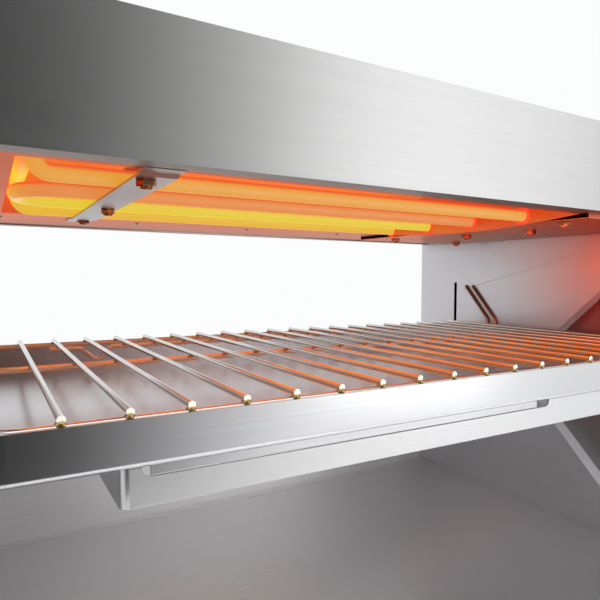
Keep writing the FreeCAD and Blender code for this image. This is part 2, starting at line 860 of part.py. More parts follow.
def make_hood_bottom_plate():
    gap = shell_sheet + loose_clearance
    plate = block(x_left + gap, x_cook_right + hood_front_flange, y_front + gap, y_back - gap,
                  z_plate, z_plate_top)
    x0, x1, y0, y1 = opening_limits()
    plate = plate.cut(block(x0, x1, y0, y1, z_plate - cut_overrun, z_plate_top + cut_overrun))
    plate = plate.cut(block(x1 - cut_overrun, x_end_plate + hatch_reach, element_ys[0] - hatch_margin,
                            element_ys[-1] + hatch_margin, z_plate - cut_overrun, z_plate_top + cut_overrun))
    holes = [strap_end_point()] + cover_screw_points()
    plate = drill(plate, holes, Z_AXIS, screw_shank_radius + seat_clearance, 2 * clamp_screw_reach)
    return drill(plate, rivet_points(), Z_AXIS, rivet_shank_radius + seat_clearance, 4 * shell_sheet)


def make_terminal_cover():
    # A shallow pan with three edges turned up against the plate, open under the end plate.
    x0, x1, y0, y1 = cover_limits()
    cover = block(x0, x1, y0, y1, z_plate - cover_drop, z_plate)
    inner = block(x0 - cut_overrun, x1 - panel_sheet, y0 + panel_sheet, y1 - panel_sheet,
                  z_plate - cover_drop + panel_sheet, z_plate)
    cover = cover.cut(inner)
    return drill(cover, cover_screw_points(), Z_AXIS, screw_shank_radius + seat_clearance, 4 * panel_sheet)


def make_underside_screws():
    short = cover_screw_points() + [strap_end_point()]
    screws = [pan_screw(point, -Z_AXIS, cover_screw_reach) for point in short]
    return group(screws + [pan_screw(point, -Z_AXIS, clamp_screw_reach) for point in clamp_screw_points()])


def make_underside_rivets():
    return group([rivet(point, -Z_AXIS, 2 * shell_sheet) for point in rivet_points()])


def make_element_strap():
    # A flat strip joggled down between its ends, so that the tubes lie on its middle.
    x0, x1, y0, y1 = opening_limits()
    top = [(y0 - strap_lap_front, z_plate), (y0 - strap_joggle_outside, z_plate)]
    top += [(y0 + strap_joggle_inside, z_strap_top), (y1 - strap_joggle_inside, z_strap_top)]
    top += [(y1 + strap_joggle_outside, z_plate), (y1 + strap_lap_rear, z_plate)]
    left = strap_x() - strap_width / 2
    outline = [V(left, y, z) for y, z in top]
    outline += [V(left, y, z - strap_thickness) for y, z in reversed(top)]
    strap = prism(outline, V(strap_width, 0, 0))
    points = clamp_screw_points() + [strap_end_point()]
    return drill(strap, points, Z_AXIS, screw_shank_radius + seat_clearance, 6 * strap_thickness)


def make_element_clamp_bar():
    half = clamp_bar_width / 2
    low = z_element + element_radius
    bar = block(strap_x() - half, strap_x() + half, y_opening + clamp_bar_setback,
                element_ys[-1] + half, low, low + strap_thickness)
    bore = screw_shank_radius + seat_clearance
    return drill(bar, clamp_screw_points(), Z_AXIS, bore, 4 * clamp_screw_reach)


def reflector_section(inset, z, rise):
    # The four corners of the reflector's cavity at a height above the plate.
    x0, x1, y0, y1 = opening_limits()
    draw = reflector_slope * rise + inset
    corners = [V(x0 + draw, y0 + draw, z), V(x_end_plate, y0 + draw, z)]
    corners.append(V(x_end_plate, y1 - draw, z))
    corners.append(V(x0 + draw, y1 - draw, z))
    return Part.makePolygon(corners + [corners[0]])


def make_reflector_pan():
    z0 = z_plate_top
    z1 = z_plate_top + reflector_height
    outside = [reflector_section(-panel_sheet, z0, 0), reflector_section(-panel_sheet, z1, 1)]
    inside = [reflector_section(0, z0, 0), reflector_section(0, z1 - panel_sheet, 1)]
    outer = Part.makeLoft(outside, True, True)
    inner = Part.makeLoft(inside, True, True)
    x0, x1, y0, y1 = opening_limits()
    rim = reflector_lip + panel_sheet
    lip = block(x0 - rim, x_end_plate, y0 - rim, y1 + rim, z0, z0 + panel_sheet)
    under = block(x0 - rim, x1 + rim, y0 - rim, y1 + rim, z0 - cut_overrun, z0)
    return join([outer, lip]).cut(inner).cut(under)


def make_reflector_end_plate():
    x0, x1, y0, y1 = opening_limits()
    low0 = y0 + loose_clearance
    low1 = y1 - loose_clearance
    top = z_plate_top + reflector_height
    x = x_end_plate
    corners = [V(x, low1, z_plate), V(x, low1, z_plate_top), V(x, y1 - reflector_slope, top)]
    corners.append(V(x, y0 + reflector_slope, top))
    corners.append(V(x, low0, z_plate_top))
    corners.append(V(x, low0, z_plate))
    edges = []
    for start, end in zip(corners, corners[1:]):
        edges.append(Part.LineSegment(start, end).toShape())
    hang = V(x, (low0 + low1) / 2, z_plate - end_plate_hang)
    edges.append(Part.Arc(corners[-1], hang, corners[0]).toShape())
    plate = Part.Face(Part.Wire(edges)).extrude(V(end_plate_sheet, 0, 0))
    holes = [V(x, y, z_element) for y in element_ys]
    radius = element_radius + element_hole_clearance
    return drill(plate, holes, X_AXIS, radius, 4 * end_plate_sheet)


def make_insulation_blanket():
    x0, x1, y0, y1 = opening_limits()
    gap = reflector_slope
    return block(x0 + gap, x_end_plate - loose_clearance, y0 + gap, y1 - gap,
                 z_plate_top + reflector_height + loose_clearance,
                 overall_height - shell_sheet - blanket_top_gap)


def cold_end(y):
    # The two points where a tube comes down behind the end plate and turns into its run.
    x = x_end_plate + element_cold_reach + element_bend_radius
    return [V(x, y, z_element + element_rise), V(x, y, z_element)]


def make_inner_element():
    # A flat hairpin: the two middle runs, joined by a half-round turn.
    near, far = element_ys[1], element_ys[2]
    x = x_opening + element_end_margin
    turn = [V(x, near, z_element), V(x, far, z_element)]
    turn_bend = element_pitch / 2 - element_turn_flat
    bends = [element_bend_radius, turn_bend, turn_bend, element_bend_radius]
    return bent_rod(cold_end(near) + turn + cold_end(far)[::-1], bends, element_radius)


def make_outer_element():
    # The first and last runs, joined by a bridge that passes over the hairpin's turn.
    near, far = element_ys[0], element_ys[3]
    x = x_opening + element_bridge_margin
    z = z_element + element_bridge_rise
    bridge = [V(x, near, z_element), V(x, near, z), V(x, far, z), V(x, far, z_element)]
    bends = [element_bend_radius] + [element_bridge_bend] * 4 + [element_bend_radius]
    return bent_rod(cold_end(near) + bridge + cold_end(far)[::-1], bends, element_radius)


def element_tops():
    return [cold_end(y)[0] for y in element_ys]


def make_element_terminals():
    lift = V(0, 0, collar_height)
    terminals = []
    for top in element_tops():
        collar = cylinder(top, Z_AXIS, collar_radius, collar_height)
        terminals.append(join([collar, cylinder(top + lift, Z_AXIS, stud_radius, stud_height)]))
    return group(terminals)


# Control housing: fascia, rear cover and what they carry
def control_point(share, y):
    # A place on the housing's middle line, at a share of the height from deck to hood.
    return V(x_controls, y, z_deck + open_height * share)


def lamp_points():
    middle = control_point(lamp_share, y_front)
    return [middle + V(side * lamp_spacing / 2, 0, 0) for side in (-1, 1)]


def switch_opening():
    half = switch_frame_width / 2 - 2 * switch_frame_proud
    tall = switch_frame_height / 2 - 2 * switch_frame_proud
    return half, tall


def make_control_fascia():
    fascia = block(x_partition, x_right, y_front, y_front + fascia_sheet, z_deck, z_hood)
    knobs = [control_point(height, y_front) for height in (power_knob_share, timer_knob_share)]
    fascia = drill(fascia, knobs, Y_AXIS, bush_radius + seat_clearance, 6 * fascia_sheet)
    fascia = drill(fascia, lamp_points(), Y_AXIS, lamp_radius + seat_clearance, 6 * fascia_sheet)
    half, tall = switch_opening()
    half += loose_clearance
    tall += loose_clearance
    centre = control_point(switch_share, y_front)
    window = block(centre.x - half, centre.x + half, y_front - cut_overrun, y_front + cut_overrun,
                   centre.z - tall, centre.z + tall)
    return fascia.cut(window)


def gland_point():
    return V(x_controls, y_back, z_deck + gland_above_deck)


def cover_edge_points():
    points = []
    for x in (x_partition + skin_return, x_right - skin_return):
        for share in rear_screw_shares:
            points.append(V(x, y_back, z_deck + (z_hood - z_deck) * share))
    return points


def make_rear_cover():
    cover = block(x_partition, x_right, y_back - fascia_sheet, y_back, z_deck, z_hood)
    for number in range(louvre_count):
        z = (z_deck + z_hood) / 2 + (number - (louvre_count - 1) / 2) * louvre_pitch
        cover = cover.cut(slot_cutter(V(x_controls, y_back, z), louvre_length, louvre_width,
                                      6 * fascia_sheet, X_AXIS, Y_AXIS))
    cover = drill(cover, [gland_point()], Y_AXIS, gland_hole_radius + seat_clearance, 6 * fascia_sheet)
    return drill(cover, cover_edge_points(), Y_AXIS, screw_shank_radius + seat_clearance, 6 * fascia_sheet)


def make_rear_screws():
    points = cover_edge_points() + housing_rim_points()
    return group([pan_screw(point, Y_AXIS, 3 * shell_sheet) for point in points])


def make_switch_gear(share):
    # A square body behind the fascia with a hollow threaded bush through it.
    centre = control_point(share, y_front + fascia_sheet)
    half = regulator_width / 2
    tall = regulator_height / 2
    body = block(centre.x - half, centre.x + half, centre.y, centre.y + regulator_depth,
                 centre.z - tall, centre.z + tall)
    bush_start = centre - V(0, fascia_sheet + bush_proud, 0)
    bush = cylinder(bush_start, Y_AXIS, bush_radius, fascia_sheet + bush_proud)
    depth = bush_proud + fascia_sheet + spindle_inside + loose_clearance
    bore = cylinder(bush_start, Y_AXIS, spindle_radius + running_clearance, depth)
    return join([body, bush]).cut(bore)


def make_spindle_nuts():
    nuts = []
    for height in (power_knob_share, timer_knob_share):
        point = control_point(height, y_front)
        nut = hexagon(point, -Y_AXIS, spindle_nut_across, spindle_nut_height)
        nuts.append(drill(nut, [point], Y_AXIS, bush_radius + seat_clearance, 4 * spindle_nut_height))
    return group(nuts)


def make_spindle(share):
    start = control_point(share, y_front - front_reach + knob_depth / 2)
    end = y_front + fascia_sheet + spindle_inside
    return cylinder(start, Y_AXIS, spindle_radius, end - start.y)


def make_knob(share):
    back = control_point(share, y_front - knob_gap)
    skirt = cylinder(back, -Y_AXIS, knob_skirt_radius, knob_skirt_height)
    grip = cylinder(back, -Y_AXIS, knob_radius, knob_depth)
    rim = [edge for edge in grip.Edges if edge.BoundBox.YMax < back.y - knob_depth / 2]
    grip = grip.makeFillet(knob_rim_round, rim)
    for number in range(knob_flute_count):
        turn = 2 * math.pi * (number + 0.5) / knob_flute_count
        offset = V(knob_radius * math.cos(turn), -knob_skirt_height, knob_radius * math.sin(turn))
        grip = grip.cut(cylinder(back + offset, -Y_AXIS, knob_flute_radius, knob_depth))
    knob = join([skirt, grip])
    front = back.y - knob_depth
    side = knob_pointer_width / 2
    groove = block(back.x - side, back.x + side, front - cut_overrun, front + knob_pointer_depth,
                   back.z + knob_pointer_inner, back.z + knob_radius + cut_overrun)
    knob = knob.cut(groove)
    knob = knob.cut(cylinder(back, -Y_AXIS, knob_cavity_radius, knob_cavity_depth))
    bore = cylinder(back + V(0, seat_clearance, 0), -Y_AXIS, spindle_radius + seat_clearance,
                    seat_clearance + knob_depth / 2 + knob_gap)
    return knob.cut(bore)


def make_switch_frame():
    centre = control_point(switch_share, y_front)
    wide = switch_frame_width / 2
    high = switch_frame_height / 2
    half, tall = switch_opening()
    bezel = block(centre.x - wide, centre.x + wide, y_front - switch_frame_proud, y_front,
                  centre.z - high, centre.z + high)
    body = block(centre.x - half, centre.x + half, y_front - switch_frame_proud,
                 y_front + switch_body_depth, centre.z - tall, centre.z + tall)
    well_half = rocker_width / 2 + loose_clearance
    well_tall = rocker_radius + loose_clearance
    well = block(centre.x - well_half, centre.x + well_half, y_front - 2 * switch_frame_proud,
                 y_front + rocker_radius + loose_clearance, centre.z - well_tall, centre.z + well_tall)
    frame = join([bezel, body]).cut(well)
    pivot = switch_pivot()
    pin_start = pivot - V(half, 0, 0)
    return frame.cut(cylinder(pin_start, X_AXIS, rocker_pivot_radius + running_clearance, 2 * half))


def switch_pivot():
    return control_point(switch_share, y_front)


def make_switch_rocker():
    # A drum cut to two shallow faces, tipped so that its lower half stands out at rest.
    pivot = switch_pivot()
    half = rocker_width / 2
    drum = cylinder(pivot - V(half, 0, 0), X_AXIS, rocker_radius, rocker_width)
    reach = 2 * rocker_radius
    face = pivot.y - rocker_face
    dip = face + rocker_notch
    keep = [V(pivot.x - half, dip, pivot.z), V(pivot.x - half, face, pivot.z + rocker_radius)]
    keep.append(V(pivot.x - half, face, pivot.z + reach))
    keep.append(V(pivot.x - half, pivot.y + rocker_face, pivot.z + reach))
    keep.append(V(pivot.x - half, pivot.y + rocker_face, pivot.z - reach))
    keep.append(V(pivot.x - half, face, pivot.z - reach))
    keep.append(V(pivot.x - half, face, pivot.z - rocker_radius))
    rocker = drum.common(prism(keep, V(rocker_width, 0, 0)))
    pin_half = switch_opening()[0] - loose_clearance
    pin = cylinder(pivot - V(pin_half, 0, 0), X_AXIS, rocker_pivot_radius, 2 * pin_half)
    rocker = join([rocker, pin])
    rocker.rotate(pivot, X_AXIS, -rocker_swing)
    return rocker


def make_lamp_bezels():
    lamps = []
    for point in lamp_points():
        ring = cylinder(point, -Y_AXIS, lamp_bezel_radius, lamp_bezel_proud)
        body = cylinder(point - V(0, lamp_bezel_proud, 0), Y_AXIS, lamp_radius, lamp_body_depth)
        lamps.append(join([ring, body]))
    return group(lamps)


def make_lamp_lenses():
    lenses = []
    for point in lamp_points():
        lens = dome(lamp_radius, lamp_lens_proud - lamp_bezel_proud)
        seat = point - V(0, lamp_bezel_proud, 0)
        lens.Placement = FreeCAD.Placement(seat, FreeCAD.Rotation(Z_AXIS, -Y_AXIS))
        lenses.append(lens)
    return group(lenses)


# Supply inlet and internal wiring
def make_cable_gland():
    point = gland_point()
    flange = hexagon(point, Y_AXIS, 2 * gland_flange_radius, gland_flange_length)
    inside = cylinder(point - V(0, gland_inside, 0), Y_AXIS, gland_hole_radius, gland_inside)
    body = join([flange, inside])
    return drill(body, [point], Y_AXIS, gland_bore_radius, 3 * gland_inside)


def make_gland_cap():
    start = gland_point() + V(0, gland_flange_length, 0)
    cap = hexagon(start, Y_AXIS, gland_nut_across, gland_nut_length)
    tip = cylinder(start + V(0, gland_nut_length, 0), Y_AXIS, gland_hole_radius, cut_overrun)
    return drill(join([cap, tip]), [start], Y_AXIS, gland_bore_radius, 4 * gland_nut_length)


def make_gland_locknut():
    start = gland_point() - V(0, fascia_sheet, 0)
    nut = hexagon(start, -Y_AXIS, gland_nut_across, gland_flange_length)
    return drill(nut, [start], Y_AXIS, gland_hole_radius + seat_clearance, 4 * gland_flange_length)


def block_centre():
    return V(x_controls, y_back - block_from_back, z_deck)


def make_terminal_block():
    centre = block_centre()
    shape = block(centre.x - block_width / 2, centre.x + block_width / 2, centre.y - block_depth / 2,
                  centre.y + block_depth / 2, z_deck, z_deck + block_height)
    pitch = block_width / block_screw_count
    for number in range(block_screw_count):
        x = centre.x - block_width / 2 + pitch / 2 + number * pitch
        for side in (-1, 1):
            y = centre.y + side * block_depth * block_screw_offset_share
            well = cylinder(V(x, y, z_deck + block_height / 2), Z_AXIS, block_screw_radius, block_height)
            shape = shape.cut(well)
    return shape


def loom_points():
    centre = block_centre()
    z_run = z_plate_top + loom_above_plate
    x_end = x_end_plate + element_cold_reach + element_bend_radius + collar_radius
    points = [V(centre.x, centre.y, z_deck + block_height), V(centre.x, centre.y, z_run)]
    points.append(V(x_end + 2 * loom_bend, centre.y, z_run))
    return points


def make_wiring_loom():
    return bent_rod(loom_points(), [loom_bend], loom_radius)


def make_junction_block():
    end = loom_points()[-1]
    half = block_depth / 2
    top = lead_level() + 2 * lead_radius
    return block(end.x - block_depth, end.x, end.y - half, end.y + half, z_plate_top, top)


def lead_level():
    return z_element + element_rise + collar_height + lead_radius


def make_element_leads():
    # One covered lead from each element's stud back to the junction block.
    end = loom_points()[-1]
    front = end.y - block_depth / 2
    leads = []
    for number, top in enumerate(element_tops()):
        x = end.x - (number + 1) * block_depth / (len(element_ys) + 1)
        points = [V(top.x + stud_radius, top.y, lead_level())]
        points.append(V(x, top.y, lead_level()))
        points.append(V(x, front, lead_level()))
        leads.append(bent_rod(points, [lead_bend], lead_radius))
    return leads


liner = make_liner_right()
rod = make_guide_rod_right()
slider = make_slider_block_right()
arm = make_arm_right()
wire_guide = make_wire_guide_right()

save("base_pan", make_base_pan())
save("bottom_plate", make_bottom_plate())
save("base_screws", make_base_screws())
save("foot_bosses", make_foot_bosses())
save("foot_lock_nuts", make_foot_lock_nuts())
foot_names = ("foot_front_left", "foot_rear_left", "foot_front_right", "foot_rear_right")
for name, place in zip(foot_names, foot_places):
    save(name, make_foot(place))
save("side_liner_right", liner)
save("side_liner_left", mirrored(liner))
save("outer_skin_left", make_outer_skin_left())
save("outer_skin_right", make_outer_skin_right())
save("housing_partition", make_partition())
save("lower_back_panel", make_lower_back_panel())
save("guide_rods", group([rod, mirrored(rod)]))
save("guide_rod_brackets", make_rod_brackets())
save("wire_guides", group([wire_guide, mirrored(wire_guide)]))
save("carriage_front_rail", make_front_rail())
save("carriage_arm_right", arm)
save("carriage_arm_left", mirrored(arm))
save("carriage_rear_beam", make_rear_beam())
save("slider_blocks", group([slider, mirrored(slider)]))
save("tray_pan", make_tray_pan())
save("tray_tongue", make_tray_tongue())
save("rack_frame", make_rack_frame())
save("rack_wires", make_rack_wires())
save("rack_cross_rods", group([make_rack_mid_rod(), make_rack_kinked_rod()]))
save("hood_shell", make_hood_shell())
save("hood_bottom_plate", make_hood_bottom_plate())
save("terminal_cover", make_terminal_cover())
save("underside_screws", make_underside_screws())
save("underside_rivets", make_underside_rivets())
save("element_strap", make_element_strap())
save("element_clamp_bar", make_element_clamp_bar())
save("reflector_pan", make_reflector_pan())
save("reflector_end_plate", make_reflector_end_plate())
save("insulation_blanket", make_insulation_blanket())
save("heating_element_outer", make_outer_element())
save("heating_element_inner", make_inner_element())
save("element_terminals", make_element_terminals())
save("control_fascia", make_control_fascia())
save("housing_rear_cover", make_rear_cover())
save("rear_screws", make_rear_screws())
save("power_regulator", make_switch_gear(power_knob_share))
save("timer_movement", make_switch_gear(timer_knob_share))
save("spindle_nuts", make_spindle_nuts())
save("power_knob", make_knob(power_knob_share))
save("power_spindle", make_spindle(power_knob_share))
save("timer_knob", make_knob(timer_knob_share))
save("timer_spindle", make_spindle(timer_knob_share))
save("switch_frame", make_switch_frame())
save("switch_rocker", make_switch_rocker())
save("lamp_bezels", make_lamp_bezels())
save("lamp_lenses", make_lamp_lenses())
save("cable_gland", make_cable_gland())
save("gland_nuts", group([make_gland_cap(), make_gland_locknut()]))
save("terminal_blocks", group([make_terminal_block(), make_junction_block()]))
save("wiring_loom", group([make_wiring_loom()] + make_element_leads()))
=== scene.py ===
import math
import bmesh
import bpy
from mathutils import Matrix, Vector, bvhtree, noise


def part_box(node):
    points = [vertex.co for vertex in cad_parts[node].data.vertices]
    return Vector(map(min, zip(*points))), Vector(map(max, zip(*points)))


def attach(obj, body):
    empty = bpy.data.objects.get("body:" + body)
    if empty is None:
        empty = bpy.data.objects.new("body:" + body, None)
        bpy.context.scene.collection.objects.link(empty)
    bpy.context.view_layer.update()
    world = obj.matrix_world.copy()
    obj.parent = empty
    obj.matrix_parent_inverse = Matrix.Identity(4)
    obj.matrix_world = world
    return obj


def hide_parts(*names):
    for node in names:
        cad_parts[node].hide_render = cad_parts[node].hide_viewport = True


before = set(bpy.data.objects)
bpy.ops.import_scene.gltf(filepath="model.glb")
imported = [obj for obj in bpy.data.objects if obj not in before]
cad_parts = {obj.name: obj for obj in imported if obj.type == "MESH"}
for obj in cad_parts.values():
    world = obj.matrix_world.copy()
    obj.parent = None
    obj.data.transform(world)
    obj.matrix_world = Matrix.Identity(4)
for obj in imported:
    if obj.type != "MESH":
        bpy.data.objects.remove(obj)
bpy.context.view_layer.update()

# Camera
# It stands close to the open front, at its left end, and looks along the front
# to the back right corner. Metres and degrees, and the lens in millimetres.
camera_place = Vector((-0.3697, -0.4705, 0.3719))
camera_turn_right = math.radians(29.96)
camera_tilt_down = math.radians(2.29)
camera_roll = math.radians(-0.26)
camera_lens = 32.71
camera_sensor = 36.0
camera_near = 0.01


def add_object(name, data):
    made = bpy.data.objects.new(name, data)
    bpy.context.scene.collection.objects.link(made)
    return made


camera_look = Vector((
    math.sin(camera_turn_right) * math.cos(camera_tilt_down),
    math.cos(camera_turn_right) * math.cos(camera_tilt_down),
    -math.sin(camera_tilt_down),
))
camera_data = bpy.data.cameras.new("camera")
camera_data.lens = camera_lens
camera_data.sensor_width = camera_sensor
camera_data.clip_start = camera_near
camera = add_object("camera", camera_data)
camera.rotation_mode = "QUATERNION"
camera.location = camera_place
camera_level = camera_look.to_track_quat("-Z", "Y").to_matrix().to_4x4()
camera.rotation_quaternion = (
    Matrix.Rotation(camera_roll, 4, camera_look) @ camera_level).to_quaternion()
bpy.context.scene.camera = camera


# Feet
# Four moulded feet on steel studs, black glass-filled plastic with a dull,
# finely grained skin. The studs screw into bosses in the bottom plate.
feet = ("foot_front_left", "foot_front_right", "foot_rear_left", "foot_rear_right")
foot_black = (0.022, 0.022, 0.023, 1)
foot_dusty = (0.075, 0.073, 0.070, 1)
foot_grain = 1800.0
dusty_faces = (0.2, 1.0)
skin_unevenness = 0.25
plastic_relief = 0.0002
weld_reach = 0.00001
edge_steps = 2
edge_angle = 50.0
split_angle = 35.0


def fill(tree, socket, value):
    # A socket takes a link from another node's output, or a plain value.
    if isinstance(value, bpy.types.NodeSocket):
        tree.links.new(value, socket)
    else:
        socket.default_value = value


def fill_sockets(tree, node, **sockets):
    for name, value in sockets.items():
        fill(tree, node.inputs[name.replace("_", " ")], value)


def shader_node(tree, kind, output, settings=None, **sockets):
    # A node with its settings made and its sockets filled by name. It gives one of its outputs.
    node = tree.nodes.new("ShaderNode" + kind)
    for name, value in (settings or {}).items():
        setattr(node, name, value)
    fill_sockets(tree, node, **sockets)
    return node.outputs[output]


def numbered_node(tree, kind, output, values, settings=None):
    # The same for a node whose sockets share a name: they are filled in their order.
    made = shader_node(tree, kind, output, settings)
    for socket, value in zip(made.node.inputs, values):
        fill(tree, socket, value)
    return made


def maths(tree, operation, *values):
    return numbered_node(tree, "Math", "Value", values, {"operation": operation})


def along(tree, axis, of="Object"):
    # One coordinate of the surface's place, or of its direction where it is of "Normal".
    return shader_node(tree, "SeparateXYZ", axis, Vector=shader_node(tree, "TexCoord", of))


def ramp_between(tree, value, start, end, low=0.0, high=1.0, smooth=False):
    # Runs from low to high while the value runs from start to end, and is level beyond.
    kind = "SMOOTHSTEP" if smooth else "LINEAR"
    return shader_node(tree, "MapRange", "Result", {"interpolation_type": kind}, Value=value,
                       From_Min=start, From_Max=end, To_Min=low, To_Max=high)


def mix_colours(tree, share, first, second):
    return shader_node(tree, "Mix", "Result", {"data_type": "RGBA"}, Factor=share, A=first, B=second)


def start_group(name, inputs, outputs):
    # An empty node group with named sockets: (name, kind, default) and (name, kind).
    tree = bpy.data.node_groups.new(name, "ShaderNodeTree")
    for label, kind, default in inputs:
        socket = tree.interface.new_socket(name=label, in_out="INPUT", socket_type="NodeSocket" + kind)
        socket.default_value = default
    for label, kind in outputs:
        tree.interface.new_socket(name=label, in_out="OUTPUT", socket_type="NodeSocket" + kind)
    return tree, tree.nodes.new("NodeGroupInput").outputs, tree.nodes.new("NodeGroupOutput")


def place_group(tree, group, **values):
    # A group placed in a material, with that material's own values.
    node = tree.nodes.new("ShaderNodeGroup")
    node.node_tree = group
    fill_sockets(tree, node, **values)
    return node


def start_material(name, colour, **constants):
    # A material with its own surface shader; the constants go straight onto its sockets.
    material = bpy.data.materials.new(name)
    material.use_nodes = True
    tree = material.node_tree
    shader = tree.nodes["Principled BSDF"]
    fill_sockets(tree, shader, Base_Color=colour, **constants)
    return material, tree, shader


def lay_finish(tree, shader, finish, bump, depth):
    # A placed group's colour, roughness and relief go onto the shader.
    for label, target in (("Color", "Base Color"), ("Roughness", "Roughness")):
        if label in finish.outputs:
            fill(tree, shader.inputs[target], finish.outputs[label])
    relief = shader_node(tree, "Bump", "Normal", Strength=bump, Distance=depth,
                         Height=finish.outputs["Height"])
    fill_sockets(tree, shader, Normal=relief)


def make_moulded_skin_group():
    # Fine spark-eroded grain with dust that settles on upward faces.
    tree, given, out = start_group(
        "Moulded skin",
        [("Clean", "Color", foot_black), ("Dusty", "Color", foot_dusty),
         ("Grain", "Float", foot_grain), ("Sheen", "Float", 0.5)],
        [("Color", "Color"), ("Roughness", "Float"), ("Height", "Float")])
    place = shader_node(tree, "TexCoord", "Object")
    fine = shader_node(tree, "TexNoise", "Fac", Vector=place, Scale=given["Grain"], Detail=2.0)
    broad = shader_node(tree, "TexNoise", "Fac", Vector=place, Scale=38.0, Detail=3.0)
    upward = ramp_between(tree, along(tree, "Z", "Normal"), *dusty_faces)
    dust = maths(tree, "MULTIPLY", upward, broad)
    rough = maths(tree, "MULTIPLY_ADD", broad, skin_unevenness, given["Sheen"])
    fill_sockets(tree, out, Color=mix_colours(tree, dust, given["Clean"], given["Dusty"]),
                 Roughness=rough, Height=fine)
    return tree


moulded_skin = make_moulded_skin_group()


def moulded_plastic(name, clean, dusty, grain, roughness, bump, **constants):
    material, tree, shader = start_material(name, clean, **constants)
    skin = place_group(tree, moulded_skin, Clean=clean, Dusty=dusty, Grain=grain, Sheen=roughness)
    lay_finish(tree, shader, skin, bump, plastic_relief)
    return material


def finish_node(node, material, edge=0.0):
    # A kept CAD part takes its finish, and its sheet edges are eased by a small radius.
    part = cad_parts[node]
    mesh = part.data
    mesh.materials.clear()
    mesh.materials.append(material)
    if edge:
        if "custom_normal" in mesh.attributes:
            mesh.attributes.remove(mesh.attributes["custom_normal"])
        weld = part.modifiers.new("weld", "WELD")
        weld.merge_threshold = weld_reach
        ease = part.modifiers.new("ease", "BEVEL")
        ease.width = edge
        ease.segments = edge_steps
        ease.limit_method = "ANGLE"
        ease.angle_limit = math.radians(edge_angle)
        split = part.modifiers.new("split", "EDGE_SPLIT")
        split.split_angle = math.radians(split_angle)
    return part


def finish_nodes(nodes, material, edge=0.0):
    for node in nodes:
        finish_node(node, material, edge)


finish_nodes(feet, moulded_plastic(
    "foot plastic", foot_black, foot_dusty, foot_grain, roughness=0.45, bump=0.4))


# Base pan, bottom plate and their fixings
# A folded pan of brushed stainless sheet that forms the deck and the low front,
# closed by a zinc-coated plate with vents. Screws, bosses and nuts are bright steel.
pan_light = (0.72, 0.72, 0.72, 1)
pan_dark = (0.63, 0.63, 0.635, 1)
zinc_light = (0.56, 0.57, 0.60, 1)
zinc_dark = (0.40, 0.41, 0.44, 1)
screw_light = (0.66, 0.62, 0.56, 1)
screw_dark = (0.36, 0.30, 0.23, 1)
zinc_spangle = (60.0,) * 3
screw_grain = (300.0,) * 3
sheet_edge = 0.0003
metal_relief = 0.0001
along_x = (5.0, 900.0, 900.0)
along_y = (900.0, 5.0, 900.0)
along_z = (900.0, 900.0, 5.0)


def vector_maths(tree, operation, *values, output="Vector"):
    return numbered_node(tree, "VectorMath", output, values, {"operation": operation})


def make_brushed_group():
    # Long fine scratches along one axis, with slow patches where hands have wiped the sheet.
    tree, given, out = start_group(
        "Brushed sheet",
        [("Light", "Color", pan_light), ("Dark", "Color", pan_dark), ("Stretch", "Vector", along_x),
         ("Roughness", "Float", 0.32), ("Patchiness", "Float", 0.10)],
        [("Color", "Color"), ("Roughness", "Float"), ("Height", "Float")])
    place = shader_node(tree, "TexCoord", "Object")
    stretched = vector_maths(tree, "MULTIPLY", place, given["Stretch"])
    grain = shader_node(tree, "TexNoise", "Fac", Vector=stretched, Scale=1.0, Detail=3.0, Roughness=0.62)
    patch = shader_node(tree, "TexNoise", "Fac", Vector=place, Scale=7.0, Detail=4.0, Roughness=0.55)
    centred = maths(tree, "SUBTRACT", patch, 0.5)
    uneven = maths(tree, "MULTIPLY_ADD", centred, given["Patchiness"], given["Roughness"])
    fill_sockets(tree, out, Color=mix_colours(tree, grain, given["Light"], given["Dark"]),
                 Roughness=maths(tree, "MULTIPLY_ADD", grain, 0.08, uneven), Height=grain)
    return tree


brushed_sheet = make_brushed_group()


def brushed_metal(name, light, dark, stretch, roughness, patchiness=0.10, bump=0.12, metallic=1.0):
    material, tree, shader = start_material(name, light, Metallic=metallic)
    sheet = place_group(tree, brushed_sheet, Light=light, Dark=dark, Stretch=stretch,
                        Roughness=roughness, Patchiness=patchiness)
    lay_finish(tree, shader, sheet, bump, metal_relief)
    return material


base_material = brushed_metal(
    "base brushed steel", pan_light, pan_dark, along_x, roughness=0.26, metallic=0.72)
zinc_material = brushed_metal(
    "zinc sheet", zinc_light, zinc_dark, zinc_spangle, roughness=0.42, patchiness=0.2, bump=0.05)
screw_material = brushed_metal(
    "screw steel", screw_light, screw_dark, screw_grain, roughness=0.24, patchiness=0.2, bump=0.1)
finish_node("base_pan", base_material, sheet_edge)
finish_nodes(("bottom_plate", "foot_bosses"), zinc_material)
finish_nodes(("base_screws", "foot_lock_nuts"), screw_material)


# Side walls, skins, partition and lower back panel
# Two liners with an arrow-shaped front edge stand on the deck, with outer skins
# over them. All are folded from fine-brushed stainless sheet and spot-welded.
liner_light = (0.68, 0.67, 0.69, 1)
liner_dark = (0.60, 0.59, 0.61, 1)
liner_painted_glow = (0.90, 0.15, 0.06, 1)
liner_tint_middle = (0.255, -0.215, 0.43)
liner_tint_half = (0.03, 0.05, 0.01)
liner_tint_reach = 0.26
tint_wander = 0.05
wall_faces = (0.3, 0.8)
wall_metal = (0.3, 0.85)
partition_painted_shade = (0.36, 0.35, 0.35, 1)
partition_painted_shade_dark = (0.28, 0.27, 0.27, 1)
partition_painted_glow = (0.55, 0.025, 0.008, 1)
partition_tint_middle = (0.273, -0.19, 0.38)
back_light = (0.80, 0.79, 0.79, 1)
back_dark = (0.70, 0.69, 0.69, 1)
skin_light = (0.60, 0.60, 0.60, 1)
skin_dark = (0.51, 0.51, 0.515, 1)


